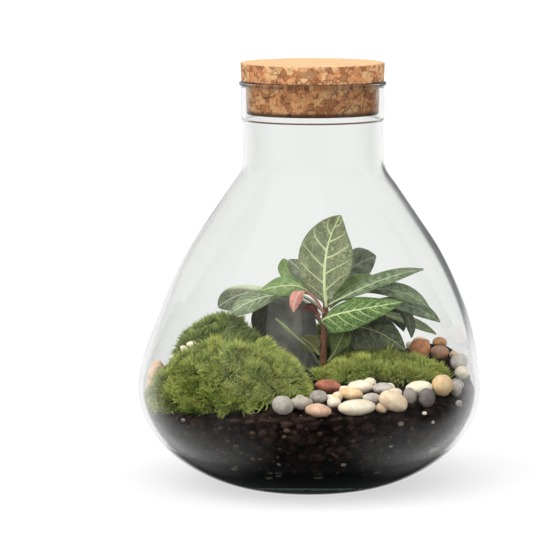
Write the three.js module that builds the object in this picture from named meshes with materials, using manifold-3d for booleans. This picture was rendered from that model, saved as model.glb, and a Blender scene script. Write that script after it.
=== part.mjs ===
// Closed plant terrarium: a blown glass flask with a cork stopper, planted inside.
// Sizes are in millimetres and Z is up. The flask stands on z = 0 with its belly centred on
// the Z axis, and the side that is looked at faces -Y. Touching pieces keep a small gap.
import * as THREE from 'three';
import { mergeVertices } from 'three/addons/utils/BufferGeometryUtils.js';
import Module from 'manifold-3d';

const wasm = await Module();
wasm.setup();

// Flask, outside
const GLASS_HEIGHT = 294.5;
const BELLY_R = 125;
const BELLY_Z = 71.7;
const FOOT_R = 52.9;
const FOOT_FLARE = 28.5;
const FOOT_LIFT = 4.3;
const BELLY_FULLNESS_BELOW = 39.8;
const BELLY_FULLNESS_ABOVE = 23.3;
const CONE_FOOT_Z = 182.6;
const CONE_FOOT_BEND = 31.1;
const CONE_TOP_Z = 218.4;
const CONE_TOP_R = 60.7;
const CONE_SLOPE = Math.tan(THREE.MathUtils.degToRad(34.2));
const NECK_FOOT_Z = 239.8;
const NECK_R = 51.1;
const COLLAR_FOOT_Z = 267.5;
const COLLAR_R = 52.1;
const RIM_R = 53.4;
const RIM_BEAD = 3.4;
const PUSH_UP_R = 36;
const PUSH_UP_HEIGHT = 2.5;
const PUSH_UP_EDGE = 4;

// Flask, inside and how it was blown
const MOUTH_R = 49;
const BELLY_WALL = 2.6;
const BOTTOM_WALL = 6.5;
const THICK_BOTTOM_Z = 45;
const NECK_LEAN = 3.4;
const NECK_LEAN_BACK = 1.2;
const FLASK_SIDES = 36;
const CURVE_STEPS = 6;
const FACET_DIP = Math.cos(Math.PI / FLASK_SIDES);

// Stopper
const TOTAL_HEIGHT = 308;
const CORK_TOP_R = 52.2;
const CORK_HEAD_FOOT_R = 51.6;
const CORK_PLUG_R = 48.6;
const CORK_PLUG_FOOT_R = 47.9;
const CORK_FOOT_Z = 271;
const CORK_EDGE = 0.8;

// Filling
const GAP = 0.35;
const SEAT_GAP = 0.45;
const MOSS_BELOW = 2;
const GRAVEL_TOP_Z = 17;
const GRAVEL_BUMP = 1.2;
const SOIL_FOOT_Z = GRAVEL_TOP_Z + GRAVEL_BUMP + GAP;
const SOIL_FRONT_Z = 66.5;
const SOIL_FRONT_Y = -110;
const SOIL_RISE = 0.125;
const SOIL_BACK = { y: 35, fall: 0.0022 };
const SOIL_FLANK = { x: 60, width: 60, drop: 9 };
const SOIL_LEFT = { x: -30, slope: 0.11 };
const SOIL_WALL = { radius: 92, width: 28, dip: 2 };
const SOIL_FRONT_DIP = 2;
const SOIL_BANKS = { right: 8, backRight: 5, left: 9 };
const SOIL_WAVE = 0.7;
const SOIL_RINGS = [0.12, 0.3, 0.48, 0.65, 0.8, 0.92];
const SOIL_WALL_STEPS = 5;
const GRAVEL_RINGS = [0.35, 0.7];
const GRAVEL_WALL_STEPS = 3;
const HOLE_GAP = 0.5;
const SLATE_HOLE_GROW = 2.5;
const STEM_ROOT_DEPTH = 14;
const SLATE_ROOT_DEPTH = 12;
const MOSS_SKIRT = 2.2;
const MOSS_SWELL = 0.09;
const MOSS_FLATNESS = 2.4;
const MOSS_UNDERCUT = 0.965;
const TUFT_SLIMNESS = 2.5;
const PEBBLE_DENT = 0.04;

const LEAF_THICKNESS = 0.8;
const LEAF_STEPS = 8;
const LEAF_ACROSS = [-1, -0.5, 0, 0.5, 1];
const LEAF_FULLNESS = 0.8;
const SHY_START = 0.15;
const WAVE_PHASES = { left: 2.4, right: 0.6 };
const PETIOLE_HALF = 1.1;
const TIP_HALF = 0.4;

const COLOURS = {
  glass: '#dfe9e6', cork: '#c59a6c', soil: '#2b2424', gravel: '#2f3433', moss: '#74893a',
  slate: '#545552', stem: '#6b3a22',
};

// Upright slate: eight-cornered slices in parts of its width and depth
const SLATE = {
  x: -12.6, y: 16, width: 29, depth: 19, topZ: 132, turn: THREE.MathUtils.degToRad(-38),
  slant: 6, slantDepth: 12, chip: 0.5, crown: 0.8,
  outline: [
    [-0.5, -0.42], [-0.1, -0.5], [0.46, -0.44], [0.5, -0.2],
    [0.44, 0.4], [0.1, 0.5], [-0.42, 0.44], [-0.5, 0.05],
  ],
};

// Stem: its root, then its stations above the soil
const STEM_X = 10;
const STEM_Y = 4;
const STEM_ROOT_R = 3;
const STEM_SIDES = 8;
const STEM_TOP = 0.4;
const STEM_STATIONS = [
  { x: 10.1, y: 4, z: 84, radius: 2.6 },
  { x: 10.6, y: 4, z: 104, radius: 2.3 },
  { x: 11.8, y: 4, z: 127, radius: 2 },
  { x: 12.2, y: 4.6, z: 136, radius: 1.5 },
];

const GREEN = '#5f8a3c';
const GREY_GREEN = '#7d8a68';
const DARK_GREEN = '#44513c';
const OLIVE = '#6c7a3e';
const PINK = '#c98070';

// Leaves: where each leaves the stem, as a height and a compass turn from +X, then the rest of
// the midrib to the tip, then its blade
const LEAVES = {
  leaf_upright: {
    colour: GREY_GREEN, from: [129, -80], midrib: [[10, -5, 148], [8.5, 6, 174], [23, 14, 194.5]],
    half: 20.5, widest: 0.5, side: [1, 0.1, 0], fold: 10, wave: 0.7, petiole: 0.08,
  },
  leaf_round_back: {
    colour: DARK_GREEN, from: [133, 60], midrib: [[19, 24, 148], [31, 31, 157], [49.5, 33, 163]],
    half: 12.5, widest: 0.66, side: [0.4, 0.3, -1], fold: 6, wave: 0.4, petiole: 0.2,
  },
  leaf_bright_back: {
    colour: GREEN, from: [132, 40], midrib: [[24, 18, 139], [35, 20, 145], [47.5, 21, 150]],
    half: 8.5, side: [0.3, 0.2, -1], fold: 8, wave: 0.4, petiole: 0.1,
  },
  leaf_slender_right: {
    colour: GREY_GREEN, from: [130.5, -38], midrib: [[33, -1, 141], [56, -3, 154], [83, -3, 157.5]],
    half: 8, widest: 0.55, side: [0.1, -0.5, -0.85], fold: 10, wave: 0.4, waves: 2, petiole: 0.12,
  },
  leaf_front_right: {
    colour: GREEN, from: [117.5, -125], midrib: [[6, -6, 124], [42, -17, 131], [67, -22, 136]],
    half: 13, widest: 0.42, side: [0.1, -0.6, -0.8], fold: -22, wave: 0.7, petiole: 0.06, shy: 0.6,
  },
  leaf_grey_right: {
    colour: GREY_GREEN, from: [128, 16], midrib: [[37, 8, 146], [66, 6, 147], [87.5, 4, 128.5]],
    half: 8, widest: 0.6, side: [-0.2, -0.4, -0.9], fold: 8, wave: 0.4, waves: 2, petiole: 0.25,
  },
  leaf_low_right: {
    colour: GREY_GREEN, from: [121, 20], midrib: [[37, 12, 134], [70, 13, 138], [96, 10, 117]],
    half: 7.5, widest: 0.65, side: [-0.2, -0.4, -0.9], fold: 8, wave: 0.4, waves: 2, petiole: 0.3,
  },
  leaf_pale_tip: {
    colour: OLIVE, from: [118, 50], midrib: [[37, 24, 127], [66, 28, 122], [94, 25, 106]],
    half: 4, widest: 0.7, side: [0, -0.5, -0.8], fold: 8, wave: 0.2, waves: 2, petiole: 0.3, steps: 7,
  },
  leaf_shaded_low: {
    colour: DARK_GREEN, from: [110, -20], midrib: [[26, 5, 119], [50, -4, 118], [67, -7, 102]],
    half: 12, widest: 0.5, side: [0.3, -0.15, -1], fold: 8, wave: 0.8, petiole: 0.1,
  },
  leaf_hanging: {
    colour: DARK_GREEN, from: [124.5, 35], midrib: [[48, 17, 139], [76, 15, 134], [75, 12, 105]],
    half: 5, widest: 0.7, side: [0.7, -0.5, 0.3], fold: 8, wave: 0.3, waves: 2, petiole: 0.4, steps: 7,
  },
  leaf_arching_left: {
    colour: GREEN, from: [127.5, 205], midrib: [[-1, -3, 149], [-14, -7, 148], [-36, -8, 142]],
    half: 8, widest: 0.6, side: [-0.1, -0.5, -1], fold: 8, wave: 0.5, waves: 2, petiole: 0.15,
  },
  leaf_far_left: {
    colour: DARK_GREEN, from: [126.5, 160], midrib: [[-8, 17, 147.5], [-47, 18, 147], [-66, 14, 128.5]],
    half: 9, widest: 0.66, side: [0.1, -0.5, -0.8], fold: 6, wave: 0.6, waves: 2, petiole: 0.35,
  },
  leaf_striped_left: {
    colour: GREY_GREEN, from: [122.5, 185], midrib: [[-7, 4, 143], [-34, 4, 142], [-58, 2, 123.5]],
    half: 8, widest: 0.68, side: [0.2, -0.5, -0.9], fold: 6, wave: 0.5, waves: 2, petiole: 0.35,
  },
  leaf_pointed_left: {
    colour: GREEN, from: [132, 122], midrib: [[-2, 26, 141], [-16, 28, 145], [-19, 27, 162]],
    half: 7, widest: 0.72, side: [1, -0.3, 0.1], fold: 14, wave: 0.9, waves: 4, petiole: 0.35,
  },
  leaf_grey_behind: {
    colour: DARK_GREEN, from: [134.5, 105], midrib: [[4, 15, 145], [-6, 19, 153], [-15, 20, 162]],
    half: 7, widest: 0.6, side: [0.7, 0.1, 0.8], fold: 8, wave: 0.4, petiole: 0.2,
  },
  leaf_pink_young: {
    colour: PINK, from: [124.5, -118], midrib: [[2, -14, 146], [-10, -18, 150], [-11.5, -19, 128]],
    half: 4.8, widest: 0.72, side: [1, 0, 0.1], fold: 14, wave: 0.2, waves: 2, petiole: 0.4, steps: 8,
  },
  leaf_red_underside: {
    colour: PINK, from: [118.5, -155], midrib: [[3, -1, 130], [-1, -5, 135], [-8, -7, 131]],
    half: 4.2, widest: 0.5, side: [0.3, -0.8, 0.6], fold: 10, wave: 0.2, waves: 2, petiole: 0.1, steps: 7,
  },
  leaf_narrow_front: {
    colour: OLIVE, from: [86, -120], midrib: [[-1, -14, 103], [-10, -20, 112], [-24.4, -24, 124]],
    half: 2.9, widest: 0.42, side: [0.6, 0.2, -0.6], fold: 14, wave: 0.2, waves: 2, petiole: 0.05, steps: 7,
  },
  leaf_low_left: {
    colour: OLIVE, from: [94, 215], midrib: [[5, 1, 98], [0, 0, 105], [-6, -1, 107]],
    half: 6, side: [0.7, -0.3, 0.8], fold: 6, wave: 0.3, waves: 2, petiole: 0.2, steps: 7,
  },
  leaf_low_front: {
    colour: GREEN, from: [89, -25], midrib: [[20, 0, 96], [23, -3, 107], [27, -6, 113]],
    half: 6.5, widest: 0.6, side: [1, -0.2, -0.6], fold: 8, wave: 0.4, waves: 2, petiole: 0.15, steps: 7,
  },
  leaf_back: {
    colour: GREEN, from: [127, 95], midrib: [[8, 30, 148], [0, 50, 152], [-8, 70, 134]],
    half: 14, widest: 0.55, side: [1, 0, 0.1], fold: 10, wave: 0.9, petiole: 0.2,
  },
  leaf_back_right: {
    colour: GREY_GREEN, from: [114, 75], midrib: [[26, 30, 134], [44, 50, 138], [58, 72, 120]],
    half: 12, widest: 0.55, side: [1, -0.8, 0], fold: 10, wave: 0.8, petiole: 0.2,
  },
  leaf_back_left: {
    colour: GREEN, from: [116, 135], midrib: [[-10, 36, 136], [-30, 54, 138], [-44, 70, 122]],
    half: 12, widest: 0.55, side: [1, 0.9, 0], fold: 10, wave: 0.8, petiole: 0.25,
  },
};

// Moss cushions: the outline on the soil, then the dome
const MOSS = {
  moss_front_left: {
    outline: [
      [-116, -30], [-112, -46], [-95, -74], [-57, -100], [-26, -93], [-2, -72],
      [4, -52], [-4, -34], [-30, -20], [-66, -14], [-100, -14],
    ],
    height: 30, fullness: 0.7, rows: 7, sides: 26, tuft: 6, seed: 1,
  },
  moss_back_left: {
    outline: [[-97, 28], [-88, 6], [-68, 3], [-46, 8], [-37, 28], [-38, 55], [-52, 78], [-74, 84], [-90, 62]],
    height: 27, fullness: 0.9, rows: 6, sides: 20, tuft: 6.5, seed: 2,
  },
  moss_right: {
    outline: [
      [6, -22], [14, -36], [34, -30], [60, -28], [86, -28], [98, -14],
      [100, 4], [86, 18], [64, 24], [38, 20], [22, 6], [16, -10],
    ],
    height: 10.5, fullness: 0.7, rows: 5, sides: 24, tuft: 5, seed: 3,
  },
  moss_back: {
    outline: [[-20, 72], [0, 56], [30, 54], [54, 64], [58, 80], [38, 96], [8, 102], [-14, 92]],
    height: 8, fullness: 0.7, rows: 4, sides: 18, tuft: 5, seed: 4,
  },
};

const CREAM = '#ead8b8';
const TAN = '#d9b48c';
const GREY = '#9b968e';
const DARK_GREY = '#756d66';
const RUST = '#b0714b';

// Pebbles: the spot on the soil, then width, height and depth
const PEBBLES = [
  { at: [13.5, -50], size: [17.4, 9.4, 10], roll: -6, colour: RUST },
  { at: [36.3, -52], size: [17.4, 8.7, 11], roll: 4, colour: CREAM },
  { at: [43.6, -40], size: [8.7, 7.2, 8], colour: GREY },
  { at: [29.4, -67], size: [15.9, 8.7, 12], roll: -5, colour: TAN },
  { at: [52.5, -52], size: [14.5, 7.2, 10], colour: GREY },
  { at: [44.2, -77], size: [12.3, 7.2, 9], colour: GREY },
  { at: [33, -103], size: [23.9, 10.9, 13], roll: 3, turn: 6, colour: CREAM },
  { at: [59, -91], size: [23, 15.5, 14], roll: -36, turn: 30, colour: TAN },
  { at: [61, -67], size: [9.4, 7.2, 9], colour: TAN },
  { at: [78, -53], size: [17.4, 10.1, 12], roll: 5, colour: CREAM },
  { at: [71, -74], size: [9, 11.6, 9], roll: 10, colour: GREY },
  { at: [83, -74], size: [12.3, 12.3, 10], turn: 40, colour: DARK_GREY },
  { at: [95, -46], size: [17.4, 15.9, 13], turn: 60, roll: -20, colour: TAN },
  { at: [106, -22], size: [10.1, 8.7, 9], colour: GREY },
  { at: [105.5, -36], size: [7.2, 10.1, 9], colour: GREY },
  { at: [112, 6], size: [10.1, 9.4, 9], colour: CREAM },
  { at: [6.5, -106], size: [16.6, 9.4, 11], roll: -6, colour: TAN },
  { at: [-18.2, -104], size: [15.2, 12.3, 10], roll: -20, colour: GREY },
  { at: [-5.8, -92], size: [15.9, 8.7, 9], colour: GREY },
  { at: [6.6, -79], size: [11.6, 9.4, 10], colour: GREY },
  { at: [17.5, -88], size: [9.4, 7.2, 8], colour: CREAM },
  { at: [82, 30], size: [14.5, 14.5, 13], colour: RUST },
  { at: [84, 74], size: [10.9, 6.5, 9], colour: CREAM },
  { at: [98, 52], size: [10.9, 7.2, 9], colour: RUST },
  { at: [97, 30], size: [13, 9.4, 10], colour: TAN },
  { at: [111, 20], size: [15.5, 12.3, 12], turn: 70, colour: GREY },
];

// The stack against the glass: each stone's spot, size and height above where it would rest
const LEFT_STACK = [
  { at: [-115, 0], size: [9, 10, 13], seed: 31 },
  { at: [-114.5, 9.5], size: [10, 11, 13], seed: 32 },
  { at: [-114.5, 5], size: [9, 11, 12], seed: 33, lift: 6 },
  { at: [-112.5, 18.5], size: [10, 10, 13], seed: 34 },
  { at: [-112.5, 14.5], size: [9, 10, 12], seed: 35, lift: 6 },
];

const degrees = THREE.MathUtils.degToRad;
const clamp01 = (t) => Math.min(1, Math.max(0, t));
const smooth = (t) => clamp01(t) ** 2 * (3 - 2 * clamp01(t));
const mix = (a, b, t) => a + (b - a) * t;

// Seeded random numbers from 0 to 1
function dice(seed) {
  let state = seed * 2654435761 % 4294967296;
  return () => {
    state = (state * 1664525 + 1013904223) % 4294967296;
    return state / 4294967296;
  };
}

// How far the flask's centre line leans towards +X at a height, as blown by hand
function lean(z) {
  return NECK_LEAN * smooth((z - 75) / 60) - NECK_LEAN_BACK * smooth((z - 205) / 80);
}

function leaned(geometry) {
  const position = geometry.attributes.position;
  for (let i = 0; i < position.count; i += 1) {
    position.setX(i, position.getX(i) + lean(position.getZ(i)));
  }
  return geometry;
}

function node(name, geometry, colour, roughness = 0.8) {
  const material = new THREE.MeshStandardMaterial({ color: colour, roughness, metalness: 0 });
  if (colour === COLOURS.glass) {
    material.transparent = true;
    material.opacity = 0.3;
  }
  geometry.computeVertexNormals();
  const mesh = new THREE.Mesh(geometry, material);
  mesh.name = name;
  return mesh;
}

function geometryOf(points, triangles) {
  const geometry = new THREE.BufferGeometry();
  const numbers = points.flatMap((p) => [p.x, p.y, p.z]);
  geometry.setAttribute('position', new THREE.Float32BufferAttribute(numbers, 3));
  geometry.setIndex(triangles.flat());
  return geometry;
}

function vertex(geometry, index) {
  return new THREE.Vector3().fromBufferAttribute(geometry.attributes.position, index);
}

// A closed body from a top point, rings from top to bottom that run anticlockwise seen from
// above, and a bottom point
function ringsBody(top, rings, bottom) {
  const sides = rings[0].length;
  const points = [top, ...rings.flat(), bottom];
  const at = (ring, side) => 1 + ring * sides + side % sides;
  const last = points.length - 1;
  const triangles = [];
  for (let i = 0; i < sides; i += 1) {
    triangles.push([0, at(0, i), at(0, i + 1)]);
    for (let k = 0; k < rings.length - 1; k += 1) {
      triangles.push([at(k, i), at(k + 1, i), at(k + 1, i + 1)]);
      triangles.push([at(k, i), at(k + 1, i + 1), at(k, i + 1)]);
    }
    triangles.push([at(rings.length - 1, i), last, at(rings.length - 1, i + 1)]);
  }
  return geometryOf(points, triangles);
}

function ring(sides, radiusAt, heightAt, centreX = 0, centreY = 0) {
  return Array.from({ length: sides }, (_, i) => {
    const turn = (i / sides) * Math.PI * 2;
    const radius = radiusAt(turn);
    const x = centreX + radius * Math.cos(turn);
    const y = centreY + radius * Math.sin(turn);
    return new THREE.Vector3(x, y, heightAt(x, y, turn));
  });
}

function toSolid(geometry) {
  const bare = geometry.clone();
  bare.deleteAttribute('normal');
  bare.deleteAttribute('uv');
  const merged = mergeVertices(bare, 1e-4);
  return new wasm.Manifold(new wasm.Mesh({
    numProp: 3,
    vertProperties: new Float32Array(merged.attributes.position.array),
    triVerts: new Uint32Array(merged.index.array),
  }));
}

function fromSolid(solid) {
  const mesh = solid.getMesh();
  const geometry = new THREE.BufferGeometry();
  geometry.setAttribute('position', new THREE.BufferAttribute(new Float32Array(mesh.vertProperties), 3));
  geometry.setIndex(Array.from(mesh.triVerts));
  return geometry;
}

// The flask's outer side from the foot to the neck, as radius and height
function outerSide() {
  const coneFootR = CONE_TOP_R + CONE_SLOPE * (CONE_TOP_Z - CONE_FOOT_Z);
  const rise = NECK_FOOT_Z - CONE_TOP_Z;
  const path = new THREE.Path();
  path.moveTo(FOOT_R, 0);
  path.bezierCurveTo(
    FOOT_R + FOOT_FLARE, FOOT_LIFT,
    BELLY_R, BELLY_Z - BELLY_FULLNESS_BELOW,
    BELLY_R, BELLY_Z,
  );
  path.bezierCurveTo(
    BELLY_R, BELLY_Z + BELLY_FULLNESS_ABOVE,
    coneFootR + CONE_SLOPE * CONE_FOOT_BEND, CONE_FOOT_Z - CONE_FOOT_BEND,
    coneFootR, CONE_FOOT_Z,
  );
  path.lineTo(CONE_TOP_R, CONE_TOP_Z);
  path.bezierCurveTo(
    CONE_TOP_R - CONE_SLOPE * rise * 0.35, CONE_TOP_Z + rise * 0.35,
    NECK_R, NECK_FOOT_Z - rise * 0.5,
    NECK_R, NECK_FOOT_Z,
  );
  return path.getPoints(CURVE_STEPS);
}

function wallAt(z) {
  const neckWall = NECK_R - MOUTH_R;
  const bellyToNeck = mix(BELLY_WALL, neckWall, smooth((z - CONE_FOOT_Z) / (NECK_FOOT_Z - CONE_FOOT_Z)));
  return mix(BOTTOM_WALL, bellyToNeck, smooth(z / THICK_BOTTOM_Z));
}

// The inner side: every outer point moved in by the wall, square to the wall
function innerSide() {
  const outer = outerSide();
  const moved = outer.map((point, i) => {
    const before = outer[Math.max(0, i - 1)];
    const after = outer[Math.min(outer.length - 1, i + 1)];
    const along = after.clone().sub(before).normalize();
    const wall = wallAt(point.y);
    return new THREE.Vector2(point.x - along.y * wall, point.y + along.x * wall);
  });
  moved[0].y = BOTTOM_WALL;
  moved[moved.length - 1].set(MOUTH_R, NECK_FOOT_Z);
  return moved;
}

const INNER_SIDE = innerSide();

// The inner radius at a height below the neck
function innerRadius(z) {
  for (let i = 1; i < INNER_SIDE.length; i += 1) {
    const low = INNER_SIDE[i - 1];
    const high = INNER_SIDE[i];
    if (z <= high.y) {
      return mix(low.x, high.x, clamp01((z - low.y) / (high.y - low.y)));
    }
  }
  return MOUTH_R;
}

// A profile of radius and height, turned about the upright axis
function turned(profile) {
  return new THREE.LatheGeometry(profile, FLASK_SIDES).rotateX(Math.PI / 2);
}

function flaskGlass() {
  const beadR = RIM_BEAD / 2;
  const beadZ = GLASS_HEIGHT - beadR;
  const bead = [-90, -30, 30, 80].map((angle) => new THREE.Vector2(
    RIM_R - beadR + beadR * Math.cos(degrees(angle)),
    beadZ + beadR * Math.sin(degrees(angle)),
  ));
  const profile = [
    new THREE.Vector2(0, PUSH_UP_HEIGHT),
    new THREE.Vector2(PUSH_UP_R, PUSH_UP_HEIGHT),
    new THREE.Vector2(PUSH_UP_R + PUSH_UP_EDGE, 0),
    ...outerSide(),
    new THREE.Vector2(NECK_R, COLLAR_FOOT_Z - 1),
    new THREE.Vector2(COLLAR_R, COLLAR_FOOT_Z),
    new THREE.Vector2(COLLAR_R, beadZ - beadR - 1),
    ...bead,
    new THREE.Vector2(MOUTH_R + beadR, GLASS_HEIGHT),
    new THREE.Vector2(MOUTH_R, GLASS_HEIGHT - beadR),
    new THREE.Vector2(MOUTH_R, COLLAR_FOOT_Z),
    ...INNER_SIDE.toReversed(),
    new THREE.Vector2(0, BOTTOM_WALL),
  ];
  return leaned(turned(profile));
}

function corkStopper() {
  const headFootZ = GLASS_HEIGHT + GAP;
  const profile = [
    new THREE.Vector2(0, CORK_FOOT_Z),
    new THREE.Vector2(CORK_PLUG_FOOT_R - CORK_EDGE, CORK_FOOT_Z),
    new THREE.Vector2(CORK_PLUG_FOOT_R, CORK_FOOT_Z + CORK_EDGE),
    new THREE.Vector2(CORK_PLUG_R, headFootZ),
    new THREE.Vector2(CORK_HEAD_FOOT_R, headFootZ),
    new THREE.Vector2(CORK_TOP_R, TOTAL_HEIGHT - CORK_EDGE),
    new THREE.Vector2(CORK_TOP_R - CORK_EDGE, TOTAL_HEIGHT),
    new THREE.Vector2(0, TOTAL_HEIGHT),
  ];
  return turned(profile).translate(lean(GLASS_HEIGHT), 0, 0);
}

// The top of the soil: it climbs to the back, drops at the flanks and along the glass, and is
// banked up at the back right and the back left
function soilHeight(x, y) {
  const radius = Math.hypot(x, y);
  const climb = SOIL_RISE * (y - SOIL_FRONT_Y) - SOIL_BACK.fall * Math.max(0, y - SOIL_BACK.y) ** 2;
  const flanks = SOIL_FLANK.drop * (Math.max(0, Math.abs(x) - SOIL_FLANK.x) / SOIL_FLANK.width) ** 2;
  const leftSlope = SOIL_LEFT.slope * Math.max(0, SOIL_LEFT.x - x);
  const wallDip = SOIL_WALL.dip * smooth((radius - SOIL_WALL.radius) / SOIL_WALL.width);
  const frontDip = SOIL_FRONT_DIP * smooth((x - 30) / 40) * smooth((-y - 70) / 30);
  const backRight = SOIL_BANKS.right * smooth((y + 10) / 50) + SOIL_BANKS.backRight * smooth((y - 30) / 25);
  const rightBank = smooth((x - 60) / 45) * backRight;
  const leftBank = SOIL_BANKS.left * smooth((-x - 60) / 40) * smooth((y + 20) / 50);
  const wave = SOIL_WAVE * Math.sin(x * 0.11 + 1) * Math.cos(y * 0.09);
  return SOIL_FRONT_Z + climb - flanks - leftSlope - wallDip - frontDip + rightBank + leftBank + wave;
}

// A filling of the flask between two levels, closely inside the wall
function filling(topAt, topFractions, footZ, wallSteps) {
  const nearWall = innerRadius(SOIL_FRONT_Z) - GAP;
  const corners = Array.from({ length: FLASK_SIDES }, (_, i) => {
    const turn = (i / FLASK_SIDES) * Math.PI * 2;
    const cos = Math.cos(turn);
    const sin = Math.sin(turn);
    return { cos, sin, topZ: topAt(nearWall * cos, nearWall * sin) };
  });
  const topRings = topFractions.map((fraction) => corners.map(({ cos, sin, topZ }) => {
    const radius = fraction * (innerRadius(topZ) - GAP);
    return new THREE.Vector3(radius * cos, radius * sin, topAt(radius * cos, radius * sin));
  }));
  const wallRings = Array.from({ length: wallSteps + 1 }, (_, k) => corners.map(({ cos, sin, topZ }) => {
    const z = mix(topZ, footZ, k / wallSteps);
    const radius = innerRadius(z) - GAP;
    return new THREE.Vector3(radius * cos, radius * sin, z);
  }));
  return ringsBody(
    new THREE.Vector3(0, 0, topAt(0, 0)),
    [...topRings, ...wallRings],
    new THREE.Vector3(0, 0, footZ),
  );
}

function gravelTop(x, y) {
  return GRAVEL_TOP_Z + GRAVEL_BUMP * Math.sin(x * 0.35) * Math.sin(y * 0.31 + 1);
}

function drainageGravel() {
  return filling(gravelTop, GRAVEL_RINGS, BOTTOM_WALL + GAP, GRAVEL_WALL_STEPS);
}

const soilBed = filling(soilHeight, SOIL_RINGS, SOIL_FOOT_Z, SOIL_WALL_STEPS);

// The height of the soil's faceted top
function groundAt(x, y) {
  const down = new THREE.Raycaster(new THREE.Vector3(x, y, TOTAL_HEIGHT), new THREE.Vector3(0, 0, -1));
  const [hit] = down.intersectObject(new THREE.Mesh(soilBed));
  return hit ? hit.point.z : soilHeight(x, y);
}

// Pulls a point in from the glass, which flattens what leans on it
function insideGlass(point) {
  const middle = lean(point.z);
  const radius = Math.hypot(point.x - middle, point.y);
  const room = innerRadius(point.z) * FACET_DIP - SEAT_GAP;
  if (radius > room) {
    point.x = middle + (point.x - middle) * room / radius;
    point.y *= room / radius;
  }
  return point;
}

// A slice of the upright slate, in from or out of its outline and shifted across
function slateSlice(z, grow, shift) {
  const cos = Math.cos(SLATE.turn);
  const sin = Math.sin(SLATE.turn);
  return SLATE.outline.map(([u, v], i) => {
    const chip = SLATE.chip * Math.sin(i * 2.3 + z * 0.2);
    const across = u * (SLATE.width + grow) + shift + chip;
    const deep = v * (SLATE.depth + grow);
    const slant = z > SLATE.topZ - SLATE.slantDepth ? SLATE.slant * u : 0;
    const x = SLATE.x + across * cos - deep * sin;
    const y = SLATE.y + across * sin + deep * cos;
    return new THREE.Vector3(x, y, z - slant);
  });
}

// The slate from its slanting, split top to its foot in the soil
function slateStone() {
  const footZ = soilHeight(SLATE.x, SLATE.y) - SLATE_ROOT_DEPTH;
  const slices = [
    [SLATE.topZ, -3.5, -0.5],
    [SLATE.topZ - 3, -1, 0],
    [SLATE.topZ - 18, 0, 0.4],
    [SLATE.topZ - 34, 0.6, -0.3],
    [footZ + 14, 0, 0],
    [footZ, -1.5, 0],
  ].map(([z, grow, shift]) => slateSlice(z, grow, shift));
  const top = new THREE.Vector3(SLATE.x, SLATE.y, SLATE.topZ + SLATE.crown);
  return ringsBody(top, slices, new THREE.Vector3(SLATE.x, SLATE.y, footZ));
}

function slateHole() {
  const footZ = soilHeight(SLATE.x, SLATE.y) - SLATE_ROOT_DEPTH - HOLE_GAP;
  const slices = [SLATE.topZ, footZ].map((z) => slateSlice(z, SLATE_HOLE_GROW, 0).map((p) => p.setZ(z)));
  const top = new THREE.Vector3(SLATE.x, SLATE.y, SLATE.topZ);
  return ringsBody(top, slices, new THREE.Vector3(SLATE.x, SLATE.y, footZ));
}

// The plant's stem, from its root in the soil to the uppermost leaf
function stemTube(grow = 0) {
  const rootZ = soilHeight(STEM_X, STEM_Y) - STEM_ROOT_DEPTH;
  const stations = [{ x: STEM_X, y: STEM_Y, z: rootZ, radius: STEM_ROOT_R }, ...STEM_STATIONS];
  const rings = stations.map(({ x, y, z, radius }) => ring(STEM_SIDES, () => radius + grow, () => z, x, y));
  const top = stations.at(-1);
  rings[0].forEach((point) => point.setZ(rootZ - grow));
  return ringsBody(
    new THREE.Vector3(top.x, top.y, top.z + STEM_TOP),
    rings.reverse(),
    new THREE.Vector3(STEM_X, STEM_Y, rootZ - grow),
  );
}

// The stem's centre and radius at a height
function stemAt(z) {
  const above = Math.max(1, STEM_STATIONS.findIndex((station) => station.z >= z));
  const low = STEM_STATIONS[above - 1];
  const high = STEM_STATIONS[above];
  const t = clamp01((z - low.z) / (high.z - low.z));
  return { x: mix(low.x, high.x, t), y: mix(low.y, high.y, t), radius: mix(low.radius, high.radius, t) };
}

function soilBody() {
  const bed = toSolid(soilBed);
  return fromSolid(bed.subtract(toSolid(slateHole())).subtract(toSolid(stemTube(HOLE_GAP))));
}

// A cushion of moss: a dome with a hand-set outline, whose upper facets each rise to a tuft
function mossCushion({ outline, height, fullness, rows, sides, tuft, seed }) {
  const roll = dice(seed);
  const corners = outline.map(([x, y]) => new THREE.Vector3(x, y, 0));
  const loop = new THREE.CatmullRomCurve3(corners, true, 'centripetal');
  const rim = loop.getSpacedPoints(sides).slice(0, sides);
  const centre = rim.reduce((sum, point) => sum.add(point), new THREE.Vector3()).divideScalar(sides);
  const toGround = (spot) => spot.setZ(soilHeight(spot.x, spot.y));
  const onGround = (spot) => toGround(insideGlass(toGround(spot)));
  const inSoil = (spot) => {
    onGround(spot);
    return spot.set(spot.x * MOSS_UNDERCUT, spot.y * MOSS_UNDERCUT, spot.z - MOSS_BELOW);
  };
  const onDome = (spot, fraction) => {
    const swell = 1 + MOSS_SWELL * Math.sin(spot.x * 0.17 + seed) * Math.sin(spot.y * 0.15 + seed * 2);
    const rise = MOSS_SKIRT + height * swell * (1 - fraction ** MOSS_FLATNESS) ** fullness;
    onGround(spot);
    return insideGlass(spot.setZ(spot.z + rise));
  };
  const level = (part, place) => rim.map((point) => place(centre.clone().lerp(point, part), part));
  const dome = Array.from({ length: rows }, (_, k) => level((k + 1) / rows, onDome));
  const under = level(1, inSoil);
  const body = ringsBody(onDome(centre.clone(), 0), [...dome, under], inSoil(centre.clone()));
  const domePoints = 1 + rows * sides;
  const cushion = tufted(body, (triangle) => triangle.every((index) => index < domePoints), tuft, roll);
  return fromSolid(toSolid(cushion).subtract(toSolid(soilBed).translate(0, 0, GAP)));
}

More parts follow.
